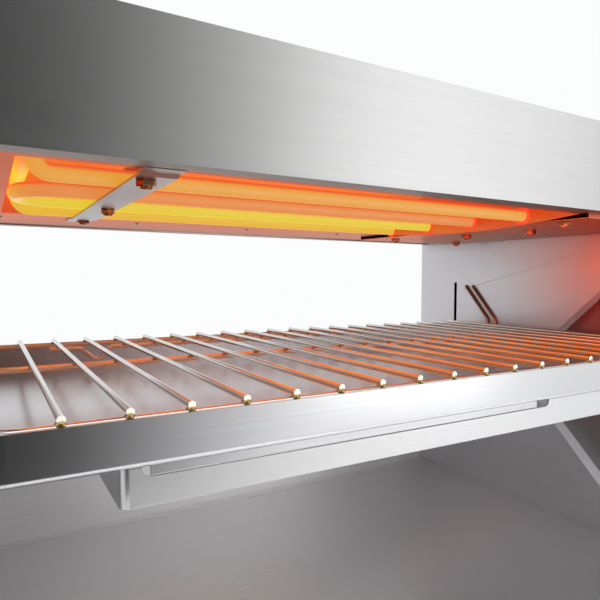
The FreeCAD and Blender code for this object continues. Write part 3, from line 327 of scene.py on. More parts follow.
def make_painted_glow_group():
    # Painted red glow of the tubes' light, laid on the metal: strongest inside a box and fading away
    # from its sides.
    tree, given, out = start_group(
        "Painted glow tint",
        [("Cool", "Color", liner_light), ("Hot", "Color", liner_painted_glow),
         ("Middle", "Vector", liner_tint_middle), ("Half size", "Vector", liner_tint_half),
         ("Reach", "Float", liner_tint_reach)],
        [("Color", "Color")])
    place = shader_node(tree, "TexCoord", "Object")
    offset = vector_maths(tree, "SUBTRACT", place, given["Middle"])
    outside = vector_maths(tree, "SUBTRACT", vector_maths(tree, "ABSOLUTE", offset), given["Half size"])
    far = vector_maths(tree, "LENGTH", vector_maths(tree, "MAXIMUM", outside), output="Value")
    cloud = shader_node(tree, "TexNoise", "Fac", Vector=place, Scale=26.0, Detail=3.0)
    wander = maths(tree, "MULTIPLY_ADD", cloud, tint_wander, far)
    fade = ramp_between(tree, wander, 0.0, given["Reach"], 1.0, 0.0, smooth=True)
    fill_sockets(tree, out, Color=mix_colours(tree, fade, given["Cool"], given["Hot"]))
    return tree


painted_glow_tint = make_painted_glow_group()


def parts_of(material):
    return material.node_tree, material.node_tree.nodes["Principled BSDF"]


def feed(shader, label):
    # What is linked to one of the shader's sockets so far.
    return shader.inputs[label].links[0].from_socket


def paint_the_glow(material, painted_glow, middle, half_size, reach):
    # Lays the painted glow over a brushed metal's own colour.
    tree, shader = parts_of(material)
    tint = place_group(tree, painted_glow_tint, Cool=feed(shader, "Base Color"), Hot=painted_glow, Middle=middle,
                       Half_size=half_size, Reach=reach)
    fill_sockets(tree, shader, Base_Color=tint.outputs["Color"])


def polish_the_wall(material):
    # The folded edges of the liner are blasted dull; only its flat wall is fully bright.
    tree, shader = parts_of(material)
    flat = maths(tree, "ABSOLUTE", along(tree, "X", "Normal"))
    fill_sockets(tree, shader, Metallic=ramp_between(tree, flat, *wall_faces, *wall_metal))


# The liner's upper front is painted red for the tubes' light that falls on it.
liner_material = brushed_metal(
    "liner fine-brushed steel", liner_light, liner_dark, along_y, 0.33, bump=0.10)
paint_the_glow(liner_material, liner_painted_glow, liner_tint_middle, liner_tint_half, liner_tint_reach)
polish_the_wall(liner_material)
# The partition is painted darker than the other steel for the shade it stands in, and red near the hood
# for the tubes' glow.
partition_material = brushed_metal(
    "partition steel", partition_painted_shade, partition_painted_shade_dark, along_z, roughness=0.34)
paint_the_glow(
    partition_material, partition_painted_glow, partition_tint_middle, liner_tint_half, liner_tint_reach)
back_material = brushed_metal(
    "back panel brushed steel", back_light, back_dark, along_x, 0.30, metallic=0.75)
skin_material = brushed_metal("skin brushed steel", skin_light, skin_dark, along_z, 0.30)
finish_nodes(("side_liner_left", "side_liner_right"), liner_material, sheet_edge)
finish_node("lower_back_panel", back_material, sheet_edge)
finish_nodes(("outer_skin_left", "outer_skin_right"), skin_material, sheet_edge)
finish_node("housing_partition", partition_material)


# Guide rods, brackets, slider blocks and wire guides
# Polished rods stand in the wall cavities, held by zinc brackets, and black
# blocks run on them. Bent wires on the walls keep the tray in line.
rod_light = (0.78, 0.78, 0.79, 1)
rod_dark = (0.62, 0.62, 0.64, 1)
guide_painted_orange = (0.62, 0.52, 0.45, 1)
guide_painted_orange_dark = (0.28, 0.19, 0.14, 1)
slider_black = (0.030, 0.030, 0.033, 1)
slider_dusty = (0.09, 0.09, 0.09, 1)
rod_grain = (400.0, 400.0, 8.0)
guide_grain = (140.0,) * 3
rod_material = brushed_metal(
    "guide rod steel", rod_light, rod_dark, rod_grain, roughness=0.10, patchiness=0.06, bump=0.04)
# The wire guides are painted brown-orange for the tubes' red light that falls on them.
guide_material = brushed_metal(
    "wire painted orange", guide_painted_orange, guide_painted_orange_dark, guide_grain, roughness=0.28, patchiness=0.2)
slider_material = moulded_plastic(
    "slider plastic", slider_black, slider_dusty, 1500.0, roughness=0.4, bump=0.3)
finish_node("guide_rods", rod_material)
finish_node("guide_rod_brackets", zinc_material)
finish_node("slider_blocks", slider_material, sheet_edge)
finish_node("wire_guides", guide_material)


# Carriage
# A front rail with turned ends, two side arms and a rear beam that reaches
# through the wall slots to the sliders. Satin stainless, spot-welded together.
carriage_light = (0.72, 0.72, 0.72, 1)
carriage_dark = (0.64, 0.64, 0.645, 1)
carriage_material = brushed_metal("carriage satin steel", carriage_light, carriage_dark, along_x, 0.34)
arm_material = brushed_metal("arm satin steel", carriage_light, carriage_dark, along_y, 0.34)
finish_nodes(("carriage_front_rail", "carriage_rear_beam"), carriage_material, sheet_edge)
finish_nodes(("carriage_arm_left", "carriage_arm_right"), arm_material, sheet_edge)


# Tray
# A shallow drip tray, deep-drawn from satin stainless sheet with round corners.
# A tongue spot-welded under it drops into the carriage.
tray_light = (0.72, 0.72, 0.73, 1)
tray_dark = (0.62, 0.62, 0.64, 1)
tray_material = brushed_metal("tray satin steel", tray_light, tray_dark, along_x, 0.20)
finish_node("tray_pan", tray_material)
finish_node("tray_tongue", tray_material, sheet_edge)


# Rack
# Twenty straight wires resistance-welded onto a bent frame and two cross rods,
# then chrome plated. The heat has turned the weld beads a straw gold.
chrome_light = (0.80, 0.79, 0.77, 1)
chrome_dark = (0.62, 0.60, 0.56, 1)
cut_end_grey = (0.80, 0.76, 0.66, 1)
bead_light = (0.72, 0.55, 0.24, 1)
bead_dark = (0.38, 0.24, 0.08, 1)
wire_count = 20
wire_pitch = 0.0294
bead_size = Vector((0.0026, 0.0030, 0.0017))
bead_lumps = 0.0006
bead_lump_scale = 1.7
bead_lump_step = 3.1
mid_rod_from_front = 0.174
kinked_rod_from_front = 0.284
kinked_rod_reach = 0.2
frame_bar_radius = 0.0025
rack_grain = (90.0, 20.0, 90.0)
bead_grain = (500.0,) * 3
cut_faces = (-0.75, -0.95)
cut_metal = (1.0, 0.25)
cut_roughness = 0.5
rack_material = brushed_metal(
    "rack chrome", chrome_light, chrome_dark, rack_grain, roughness=0.10, patchiness=0.12, bump=0.03)
bead_material = brushed_metal(
    "weld bead", bead_light, bead_dark, bead_grain, roughness=0.30, patchiness=0.2, bump=0.3)


def dull_the_cut_ends(material):
    # The sheared wire ends face the front: rougher and paler than the drawn sides.
    tree, shader = parts_of(material)
    cut = ramp_between(tree, along(tree, "Y", "Normal"), *cut_faces)
    fill_sockets(tree, shader,
                 Base_Color=mix_colours(tree, cut, feed(shader, "Base Color"), cut_end_grey),
                 Metallic=ramp_between(tree, cut, 0.0, 1.0, *cut_metal),
                 Roughness=maths(tree, "MULTIPLY_ADD", cut, cut_roughness, feed(shader, "Roughness")))


def weld_crossings():
    # Each place where a wire lies on a bar or rod of the rack.
    low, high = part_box("rack_frame")
    y_bars = [low.y + frame_bar_radius, high.y - frame_bar_radius]
    y_mid = y_bars[0] + mid_rod_from_front
    y_kinked = y_bars[0] + kinked_rod_from_front
    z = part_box("rack_wires")[0].z
    x_middle = (low.x + high.x) / 2
    places = []
    for index in range(wire_count):
        x = x_middle + (index - (wire_count - 1) / 2) * wire_pitch
        places += [Vector((x, y, z)) for y in (*y_bars, y_mid)]
        if abs(x - x_middle) < kinked_rod_reach:
            places.append(Vector((x, y_kinked, z)))
    return places


def make_weld_beads():
    # Small lumpy collars of metal squeezed out where a wire was welded down.
    mesh = bpy.data.meshes.new("rack_welds")
    shape = bmesh.new()
    for number, place in enumerate(weld_crossings()):
        shift = Vector((number * bead_lump_step, 0.0, 0.0))
        for vertex in bmesh.ops.create_icosphere(shape, subdivisions=2, radius=1.0)["verts"]:
            lump = noise.noise(vertex.co * bead_lump_scale + shift)
            size = bead_size * (1.0 + lump * bead_lumps / bead_size.z)
            vertex.co = place + vertex.co * size
    shape.to_mesh(mesh)
    shape.free()
    for face in mesh.polygons:
        face.use_smooth = True
    return add_object("rack_welds", mesh)


dull_the_cut_ends(rack_material)
finish_nodes(("rack_frame", "rack_wires", "rack_cross_rods"), rack_material)
rack_welds = make_weld_beads()
rack_welds.data.materials.append(bead_material)
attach(rack_welds, "rack")


# Hood and the plate under it
# A deep folded shell of stainless sheet, brushed along its length, closed from
# below by a zinc-coated plate that is riveted at the back.
hood_light = (0.63, 0.63, 0.62, 1)
hood_dark = (0.55, 0.55, 0.545, 1)
hood_edge = 0.0004
lip_shade = (0.22, 0.17, 0.13, 1)
lip_faces = (-0.2, -0.9)
plate_painted_pink = (0.56, 0.44, 0.39, 1)
plate_painted_red_sheen = (0.88, 0.50, 0.40, 1)
plate_painted_pink_dark = (0.48, 0.37, 0.33, 1)
plate_painted_glow = (0.88, 0.32, 0.20, 1)
opening_middle = (-0.136, -0.046, 0.43)
opening_half = (0.221, 0.132, 1.0)
plate_tint_reach = 0.17


def shade_the_lip(material):
    # The folded lip under the hood faces down and is painted a dark brown shade: a mask from the way
    # that a face points.
    tree, shader = parts_of(material)
    facing = ramp_between(tree, along(tree, "Z", "Normal"), *lip_faces)
    fill_sockets(tree, shader,
                 Base_Color=mix_colours(tree, facing, feed(shader, "Base Color"), lip_shade))


hood_material = brushed_metal("hood brushed steel", hood_light, hood_dark, along_x, 0.30)
shade_the_lip(hood_material)
# The zinc plate is painted pink, and redder over the tubes, for the tubes' red light on it; its grazing
# sheen is tinted red as a painted reflection.
plate_material = brushed_metal(
    "hood plate zinc", plate_painted_pink, plate_painted_pink_dark, zinc_spangle, roughness=0.28, patchiness=0.15, bump=0.06)
paint_the_glow(plate_material, plate_painted_glow, opening_middle, opening_half, plate_tint_reach)
plate_tree, plate_shader = parts_of(plate_material)
fill_sockets(plate_tree, plate_shader, Specular_Tint=plate_painted_red_sheen)
finish_node("hood_shell", hood_material, hood_edge)
finish_node("hood_bottom_plate", plate_material)
finish_node("terminal_cover", plate_material, sheet_edge)
finish_node("underside_rivets", screw_material)


# Bolts under the hood
# Flanged nuts on screw ends hold the strap, the cover and the plate. They are zinc-plated steel,
# coloured orange-brown to dark red-brown.
bolt_light = (0.66, 0.38, 0.20, 1)
bolt_dark = (0.16, 0.045, 0.025, 1)
screw_head_height = 0.0040
washer_radius = 0.0060
washer_height = 0.0012
nut_across = 0.0100
nut_height = 0.0036
nut_turn = 0.7
dome_radius = 0.0036
dome_height = 0.0016
bolt_round = 0.0003
bolt_grain = (260.0,) * 3
bolt_material = brushed_metal(
    "orange-brown bolt", bolt_light, bolt_dark, bolt_grain, roughness=0.16, patchiness=0.2, bump=0.2)


def loose_parts(mesh):
    # The separate solids of a mesh, each as the box that its vertices fill.
    shape = bmesh.new()
    shape.from_mesh(mesh)
    bmesh.ops.remove_doubles(shape, verts=shape.verts, dist=weld_reach)
    left = set(shape.verts)
    boxes = []
    while left:
        queue = [left.pop()]
        found = list(queue)
        while queue:
            for edge in queue.pop().link_edges:
                for vertex in edge.verts:
                    if vertex in left:
                        left.remove(vertex)
                        queue.append(vertex)
                        found.append(vertex)
        boxes.append([Vector(pick(v.co[axis] for v in found) for axis in range(3))
                      for pick in (min, max)])
    shape.free()
    return sorted(boxes, key=lambda corners: tuple(corners[0]))


def add_turned(shape, place, profile, sides, turn=0.0):
    # A closed solid turned about a vertical axis from (radius, height) pairs that
    # start and end on the axis.
    rings = []
    for radius, height in profile:
        if radius == 0.0:
            rings.append([shape.verts.new(place + Vector((0.0, 0.0, height)))])
            continue
        ring = []
        for step in range(sides):
            angle = turn + 2 * math.pi * step / sides
            spot = Vector((radius * math.cos(angle), radius * math.sin(angle), height))
            ring.append(shape.verts.new(place + spot))
        rings.append(ring)
    for lower, upper in zip(rings, rings[1:]):
        for step in range(sides):
            after = (step + 1) % sides
            corners = [lower[step % len(lower)], lower[after % len(lower)],
                       upper[after % len(upper)], upper[step % len(upper)]]
            shape.faces.new(list(dict.fromkeys(corners)))


def new_piece(name, shape, material, body, smooth_angle=split_angle):
    # A finished mesh piece, smooth except at its sharp edges, riding on its body.
    bmesh.ops.recalc_face_normals(shape, faces=shape.faces)
    mesh = bpy.data.meshes.new(name)
    shape.to_mesh(mesh)
    shape.free()
    mesh.materials.append(material)
    for face in mesh.polygons:
        face.use_smooth = True
    piece = add_object(name, mesh)
    split = piece.modifiers.new("split", "EDGE_SPLIT")
    split.split_angle = math.radians(smooth_angle)
    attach(piece, body)
    return piece


def make_bolts():
    shape = bmesh.new()
    corner = nut_across / math.sqrt(3.0)
    for number, (low, high) in enumerate(loose_parts(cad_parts["underside_screws"].data)):
        place = Vector(((low.x + high.x) / 2, (low.y + high.y) / 2, 0.0))
        seat = low.z + screw_head_height
        down = seat - washer_height
        end = down - nut_height
        top = end - dome_height
        add_turned(shape, place, [
            (0.0, seat), (washer_radius - bolt_round, seat), (washer_radius, seat - bolt_round),
            (washer_radius, down + bolt_round), (washer_radius - bolt_round, down), (0.0, down)], 32)
        add_turned(shape, place, [
            (0.0, down), (corner - bolt_round, down), (corner, down - bolt_round),
            (corner, end + 2 * bolt_round), (corner - 2 * bolt_round, end), (0.0, end)],
            6, nut_turn * number)
        add_turned(shape, place, [
            (0.0, end), (dome_radius, end), (dome_radius, end - 0.4 * dome_height),
            (0.8 * dome_radius, top + 0.15 * dome_height), (0.4 * dome_radius, top), (0.0, top)], 24)
    bolts = new_piece("underside_bolts", shape, bolt_material, "chassis")
    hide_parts("underside_screws")


make_bolts()


# Reflector and end plate
# A bright tray of rolled aluminium over the tubes. Its red colour and its glow are painted light of the
# tubes. The plate at its right end has a hole for each tube and carries a fainter painted glow.
reflector_painted_red = (0.80, 0.26, 0.13, 1)
reflector_painted_red_dark = (0.70, 0.20, 0.09, 1)
wall_painted_glow = (1.0, 0.10, 0.025, 1)
ceiling_painted_glow = (0.78, 0.25, 0.03, 1)
glow_from_z = 0.440
glow_to_z = 0.466


def painted_glow_reflector(name, strength):
    # Painted glow: a red base colour and an emission, redder on the walls and orange higher up.
    material, tree, shader = start_material(
        name, reflector_painted_red, Metallic=1.0, Emission_Strength=strength)
    sheet = place_group(tree, brushed_sheet, Light=reflector_painted_red, Dark=reflector_painted_red_dark,
                        Stretch=along_x, Roughness=0.30, Patchiness=0.1)
    height = ramp_between(tree, along(tree, "Z"), glow_from_z, glow_to_z)
    fill_sockets(tree, shader, Base_Color=sheet.outputs["Color"], Roughness=sheet.outputs["Roughness"],
                 Emission_Color=mix_colours(tree, height, wall_painted_glow, ceiling_painted_glow))
    return material


finish_node("reflector_pan", painted_glow_reflector("reflector with painted glow", 0.5))
finish_node("reflector_end_plate", painted_glow_reflector("end plate with painted glow", 0.12))


# Insulation
# A quilt of mineral wool in woven glass cloth lies on the reflector inside the
# hood. It is stitched through on a grid, with rolled edges.
quilt_light = (0.80, 0.77, 0.70, 1)
quilt_shade = (0.56, 0.52, 0.44, 1)
cloth_threads = 640.0
cloth_relief = 0.0004
quilt_edge = 0.012
quilt_under = 0.005
quilt_cells = (7, 4)
quilt_steps = (112, 64)
quilt_stitch_depth = 0.0055
quilt_puff = 1.6
quilt_lump_depth = 0.0012
quilt_lump_scale = 40.0
quilt_smooth_angle = 80.0


def make_woven_group():
    # Threads that pass over and under each other, with slow stains.
    tree, given, out = start_group(
        "Woven threads",
        [("Light", "Color", quilt_light), ("Shade", "Color", quilt_shade),
         ("Threads", "Float", cloth_threads)],
        [("Color", "Color"), ("Height", "Float")])
    place = shader_node(tree, "TexCoord", "Object")
    stretched = shader_node(tree, "VectorMath", "Vector", {"operation": "SCALE"}, Vector=place,
                            Scale=maths(tree, "MULTIPLY", given["Threads"], math.pi))
    wave = vector_maths(tree, "SINE", stretched)
    x, y, z = [shader_node(tree, "SeparateXYZ", axis, Vector=wave) for axis in "XYZ"]
    total = maths(tree, "ADD", maths(tree, "MULTIPLY", x, y), maths(tree, "MULTIPLY", y, z))
    total = maths(tree, "ADD", total, maths(tree, "MULTIPLY", z, x))
    over = ramp_between(tree, total, -1.0, 1.0)
    stain = shader_node(tree, "TexNoise", "Fac", Vector=place, Scale=22.0, Detail=4.0)
    both = maths(tree, "MULTIPLY", over, stain)
    fill_sockets(tree, out, Color=mix_colours(tree, both, given["Light"], given["Shade"]), Height=over)
    return tree


woven_threads = make_woven_group()


def woven_glass(name, light, shade, threads):
    material, tree, shader = start_material(name, light, Roughness=0.85, Sheen_Weight=0.25)
    cloth = place_group(tree, woven_threads, Light=light, Shade=shade, Threads=threads)
    lay_finish(tree, shader, cloth, 0.5, cloth_relief)
    return material


def rounding(distance, reach):
    # How far a rolled edge has risen at this distance in from the side, from 0 to 1.
    part = min(distance / reach, 1.0)
    return math.sqrt(1.0 - (1.0 - part) ** 2)


def make_quilt():
    low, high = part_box("insulation_blanket")
    size = high - low
    columns, rows = quilt_steps
    z_side = low.z + quilt_under
    shape = bmesh.new()
    over, under = {}, {}
    for column in range(columns + 1):
        for row in range(rows + 1):
            spot = (column, row)
            x = low.x + size.x * column / columns
            y = low.y + size.y * row / rows
            inset = min(x - low.x, high.x - x, y - low.y, high.y - y)
            swell_x = abs(math.sin(math.pi * quilt_cells[0] * column / columns))
            swell_y = abs(math.sin(math.pi * quilt_cells[1] * row / rows))
            puff = min(1.0, min(swell_x, swell_y) * quilt_puff) ** 0.5
            lump = noise.noise(Vector((x * quilt_lump_scale, y * quilt_lump_scale, 0.0)))
            sunk = quilt_stitch_depth * (1.0 - puff) + quilt_lump_depth * (1.0 + lump)
            risen = rounding(inset, quilt_edge)
            over[spot] = shape.verts.new((x, y, z_side + (high.z - z_side - sunk) * risen))
            under[spot] = over[spot]
            if inset > weld_reach:
                under[spot] = shape.verts.new((x, y, z_side - quilt_under * risen))
    for column in range(columns):
        for row in range(rows):
            ring = [(column, row), (column + 1, row), (column + 1, row + 1), (column, row + 1)]
            shape.faces.new([over[spot] for spot in ring])
            if len({under[spot] for spot in ring} & {over[spot] for spot in ring}) < 4:
                shape.faces.new([under[spot] for spot in reversed(ring)])
    cloth = woven_glass("quilt glass cloth", quilt_light, quilt_shade, cloth_threads)
    quilt = new_piece("insulation_quilt", shape, cloth, "chassis", quilt_smooth_angle)
    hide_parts("insulation_blanket")


make_quilt()


# Heating tubes
# Bent metal-sheathed elements, yellow-hot along their runs and grey where the
# cold ends rise through the end plate to ceramic terminals.
tube_steel = (0.06, 0.05, 0.045, 1)
tube_y = (-0.119, -0.054, 0.011, 0.076)
tube_glow = ((0.80, 0.35, 0.037, 1), (0.79, 0.25, 0.055, 1),
             (0.81, 0.63, 0.032, 1), (0.82, 0.48, 0.033, 1))
tube_top_painted_red = (0.80, 0.085, 0.025, 1)
tube_top_painted_faces = (0.2, 0.8)
mottle_span = (0.3, 0.7)
tube_roughness = (0.30, 0.46)
no_glow = (0, 0, 0, 1)
cold_from_x = 0.084
cold_to_x = 0.096
strap_light = (0.52, 0.47, 0.47, 1)
strap_dark = (0.42, 0.36, 0.35, 1)
ceramic_white = (0.80, 0.77, 0.70, 1)
ceramic_stain = (0.58, 0.52, 0.43, 1)
collar_top = 0.4651


def make_tube_material():
    # One colour for each run from front to back, with a painted red shade on upward faces that stands
    # for the red gaps between the runs, and roughness mottled by scale.
    material, tree, shader = start_material(
        "glowing tube", tube_steel, Metallic=0.0, Emission_Strength=0.92)
    y_low, y_high = tube_y[0], tube_y[-1]
    across = ramp_between(tree, along(tree, "Y"), y_low, y_high)
    ramp = shader_node(tree, "ValToRGB", "Color", Fac=across)
    stops = ramp.node.color_ramp.elements
    while len(stops) < len(tube_glow):
        stops.new(0.5)
    for stop, y, colour in zip(stops, tube_y, tube_glow):
        stop.position = (y - y_low) / (y_high - y_low)
        stop.color = colour
    # Painted shade: the tubes' upward faces turn red.
    edge = ramp_between(tree, along(tree, "Z", "Normal"), *tube_top_painted_faces, smooth=True)
    cold = ramp_between(tree, along(tree, "X"), cold_from_x, cold_to_x, 1.0, 0.0)
    mottle = shader_node(tree, "TexNoise", "Fac", Vector=shader_node(tree, "TexCoord", "Object"),
                         Scale=60.0, Detail=3.0)
    shade = mix_colours(tree, edge, ramp, tube_top_painted_red)
    fill_sockets(tree, shader, Roughness=ramp_between(tree, mottle, *mottle_span, *tube_roughness),
                 Emission_Color=mix_colours(tree, cold, no_glow, shade))
    return material


def make_terminal_material():
    # Unglazed ceramic up to the collar's top, and above it the bright steel stud.
    material = moulded_plastic(
        "terminal ceramic", ceramic_white, ceramic_stain, 1400.0, roughness=0.45, bump=0.3)
    tree, shader = parts_of(material)
    fill_sockets(tree, shader, Metallic=maths(tree, "GREATER_THAN", along(tree, "Z"), collar_top))
    return material


strap_material = brushed_metal("strap steel", strap_light, strap_dark, along_y, 0.30, 0.2, bump=0.1)
finish_nodes(("heating_element_inner", "heating_element_outer"), make_tube_material())
finish_nodes(("element_strap", "element_clamp_bar"), strap_material)
finish_node("element_terminals", make_terminal_material())


# Bushings
# A ring of mica in each hole of the end plate, where a tube passes through. It closes the gap round the
# tube. Its red colour and its glow are painted light of the tubes.
bushing_painted_red = (0.75, 0.12, 0.06, 1)
bushing_painted_red_dusty = (0.5, 0.06, 0.03, 1)
bushing_painted_glow = (1.0, 0.05, 0.02, 1)
bushing_outer = 0.0086
bushing_inner = 0.0057
bushing_thick = 0.0007
bushing_chamfer = 0.0002
bushing_sides = 40
tube_z = 0.4331


def make_bushings():
    shape = bmesh.new()
    plate_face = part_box("reflector_end_plate")[0].x
    left_face = plate_face - bushing_thick
    outline = ((bushing_inner, plate_face), (bushing_inner, left_face),
               (bushing_outer - bushing_chamfer, left_face), (bushing_outer, plate_face))
    angles = [2 * math.pi * step / bushing_sides for step in range(bushing_sides)]
    for y in tube_y:
        rings = [[shape.verts.new((x, y + radius * math.cos(a), tube_z + radius * math.sin(a)))
                  for a in angles] for radius, x in outline]
        for lower, upper in zip(rings, rings[1:] + rings[:1]):
            for step in range(bushing_sides):
                after = (step + 1) % bushing_sides
                shape.faces.new((lower[step], lower[after], upper[after], upper[step]))
    # Painted glow: a red base colour and an emission stand for the tubes' light on the mica.
    material = moulded_plastic("mica with painted glow", bushing_painted_red, bushing_painted_red_dusty, 900.0, roughness=0.4, bump=0.2,
                               Emission_Strength=0.55, Emission_Color=bushing_painted_glow)
    new_piece("tube_bushings", shape, material, "chassis")


make_bushings()


# Fascia, rear cover and their screws
# The front and the back of the control box are folded sheets, held by small
# pan-head screws. The fascia's brushing runs across it.
fascia_material = brushed_metal("fascia brushed steel", skin_light, skin_dark, along_x, 0.28)
finish_node("control_fascia", fascia_material, sheet_edge)
finish_node("housing_rear_cover", skin_material, sheet_edge)
finish_node("rear_screws", screw_material)


# Regulator, timer and their spindles
# Moulded bodies of heat-resistant cream plastic hang on the fascia by a thin nut,
# with turned steel spindles.
gear_cream = (0.66, 0.62, 0.52, 1)
gear_dusty = (0.44, 0.40, 0.33, 1)
gear_material = moulded_plastic(
    "gear plastic", gear_cream, gear_dusty, 1200.0, roughness=0.38, bump=0.25)
finish_nodes(("power_regulator", "timer_movement"), gear_material)
finish_nodes(("power_spindle", "timer_spindle", "spindle_nuts"), screw_material)


# Knobs and dials
# Fluted black phenolic knobs with a white-filled pointer groove. The scales are
# printed on the fascia: steps of power above, minutes below.
knob_black = (0.018, 0.018, 0.020, 1)
knob_worn = (0.075, 0.073, 0.072, 1)
pointer_white = (0.80, 0.79, 0.76, 1)
pointer_grubby = (0.62, 0.60, 0.55, 1)
ink_black = (0.025, 0.025, 0.028, 1)
ink_worn = (0.10, 0.10, 0.10, 1)
pointer_half_width = 0.0011
pointer_from = 0.0056
pointer_to = 0.0186
pointer_floor = 0.0008
pointer_thick = 0.0005
pointer_round = 0.00015
dial_plane = -0.205
ink_thick = 0.00006
tick_from = 0.0262
tick_long = 0.0034
tick_short = 0.0020
tick_wide = 0.00055
numeral_reach = 0.0335
numeral_size = 0.0048
# Name, knob, body, sweep in degrees, numerals and steps from one numeral to the next.
dials = (("power", "power_knob", "power_control", 270.0, "0 1 2 3 4 5 6 7 8 9".split(), 2),
         ("timer", "timer_knob", "timer_control", 300.0, "0 5 10 15 20 25 30".split(), 5))
knob_material = moulded_plastic(
    "knob phenolic", knob_black, knob_worn, 1500.0, roughness=0.18, bump=0.12, Coat_Weight=0.3)
pointer_material = moulded_plastic(
    "pointer paint", pointer_white, pointer_grubby, 1500.0, roughness=0.35, bump=0.1)
ink_material = moulded_plastic("dial ink", ink_black, ink_worn, 2500.0, roughness=0.35, bump=0.1)


def add_slab(shape, centre, across, direction, half_width, start, end, front, back):
    # A thin bar in the plane of the fascia, from one distance to another along a direction.
    corners = []
    for y in (front, back):
        for side, reach in ((-1, start), (1, start), (1, end), (-1, end)):
            spot = centre + across * (side * half_width) + direction * reach
            corners.append(shape.verts.new((spot.x, y, spot.z)))
    shape.faces.new(corners[:4])
    shape.faces.new(corners[:3:-1])
    for step in range(4):
        after = (step + 1) % 4
        shape.faces.new((corners[step], corners[after], corners[4 + after], corners[4 + step]))


def add_numeral(shape, text, centre):
    # One numeral in the built-in plain font, laid flat on the fascia.
    curve = bpy.data.curves.new("numeral", "FONT")
    curve.body = text
    curve.size = numeral_size
    curve.align_x = "CENTER"
    curve.align_y = "CENTER"
    curve.extrude = ink_thick / 2
    carrier = bpy.data.objects.new("numeral", curve)
    mesh = bpy.data.meshes.new_from_object(carrier)
    upright = Matrix.Rotation(math.radians(90), 4, "X")
    mesh.transform(Matrix.Translation((centre.x, dial_plane - ink_thick / 2, centre.z)) @ upright)
    shape.from_mesh(mesh)
    bpy.data.objects.remove(carrier)
    bpy.data.curves.remove(curve)
    bpy.data.meshes.remove(mesh)


def make_dial(name, knob, body, sweep, labels, parts):
    low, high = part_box(knob)
    centre = (low + high) / 2
    print_shape = bmesh.new()
    steps = (len(labels) - 1) * parts
    for step in range(steps + 1):
        turn = math.radians(sweep * step / steps)
        outward = Vector((math.sin(turn), 0.0, math.cos(turn)))
        across = Vector((math.cos(turn), 0.0, -math.sin(turn)))
        numbered = step % parts == 0
        half_width = tick_wide / (2 if numbered else 3)
        tick_to = tick_from + (tick_long if numbered else tick_short)
        add_slab(print_shape, centre, across, outward, half_width, tick_from, tick_to,
                 dial_plane - ink_thick, dial_plane)
        if numbered:
            add_numeral(print_shape, labels[step // parts], centre + outward * numeral_reach)
    new_piece(name + "_scale", print_shape, ink_material, "chassis")
    pointer_shape = bmesh.new()
    floor = low.y + pointer_floor
    add_slab(pointer_shape, centre, Vector((1, 0, 0)), Vector((0, 0, 1)), pointer_half_width,
             pointer_from, pointer_to, floor - pointer_thick, floor)
    bmesh.ops.bevel(pointer_shape, geom=pointer_shape.edges, offset=pointer_round,
                    segments=edge_steps, affect="EDGES")
    new_piece(name + "_pointer", pointer_shape, pointer_material, body)
    finish_node(knob, knob_material)


for dial in dials:
    make_dial(*dial)


# Rocker switch
# A black moulded frame snapped into the fascia, with a green rocker that carries
# a line and a ring for on and off.
rocker_green = (0.02, 0.30, 0.07, 1)
rocker_worn = (0.10, 0.36, 0.15, 1)
sign_reach = 0.0052
sign_half = 0.0022
sign_line = 0.0006
sign_proud = 0.00008
sign_cast_from = 0.01
line_steps = 3
ring_steps = 36
frame_material = moulded_plastic(
    "switch frame plastic", knob_black, knob_worn, 1800.0, roughness=0.25, bump=0.2)
rocker_material = moulded_plastic(
    "rocker plastic", rocker_green, rocker_worn, 1500.0, roughness=0.14, bump=0.05, Coat_Weight=0.4)
finish_node("switch_frame", frame_material)
rocker = finish_node("switch_rocker", rocker_material)


def make_rocker_signs():
    # The line and the ring, pressed onto the rocker's own face by casting each point back to it.
    low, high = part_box("switch_rocker")
    middle = (low + high) / 2
    mesh = rocker.data
    faces = bvhtree.BVHTree.FromPolygons(
        [v.co for v in mesh.vertices], [f.vertices for f in mesh.polygons])
    shape = bmesh.new()

    def lay(x, z, lift):
        hit = faces.ray_cast(Vector((x, low.y - sign_cast_from, z)), Vector((0, 1, 0)))[0]
        return shape.verts.new((x, hit.y - lift, z))

    def strip(places, closed):
        front, back = [[(lay(*one, lift), lay(*two, lift)) for one, two in places]
                       for lift in (sign_proud, -sign_proud)]
        count = len(places)
        for step in range(count if closed else count - 1):
            after = (step + 1) % count
            (a, b), (c, d) = front[step], front[after]
            (e, f), (g, h) = back[step], back[after]
            for corners in ((a, b, d, c), (e, g, h, f), (a, c, g, e), (b, f, h, d)):
                shape.faces.new(corners)
        if not closed:
            for step in (0, -1):
                shape.faces.new((front[step][0], front[step][1], back[step][1], back[step][0]))

    line = []
    for step in range(-line_steps, line_steps + 1):
        z = middle.z + sign_reach + sign_half * step / line_steps
        line.append(((middle.x - sign_line / 2, z), (middle.x + sign_line / 2, z)))
    strip(line, False)
    ring = []
    for step in range(ring_steps):
        turn = 2 * math.pi * step / ring_steps
        ring.append([
            (middle.x + radius * math.cos(turn), middle.z - sign_reach + radius * math.sin(turn))
            for radius in (sign_half, sign_half - sign_line)])
    strip(ring, True)
    new_piece("rocker_signs", shape, pointer_material, "rocker")


make_rocker_signs()


# Pilot lamps
# Two small domed lenses of coloured clear plastic in black bezels, green for the
# supply and amber for the heat. Rings inside the lens spread the light.
lens_amber = (0.95, 0.34, 0.03, 1)
lens_green = (0.10, 0.60, 0.16, 1)
lens_ring = 5200.0
lens_offset = 0.018


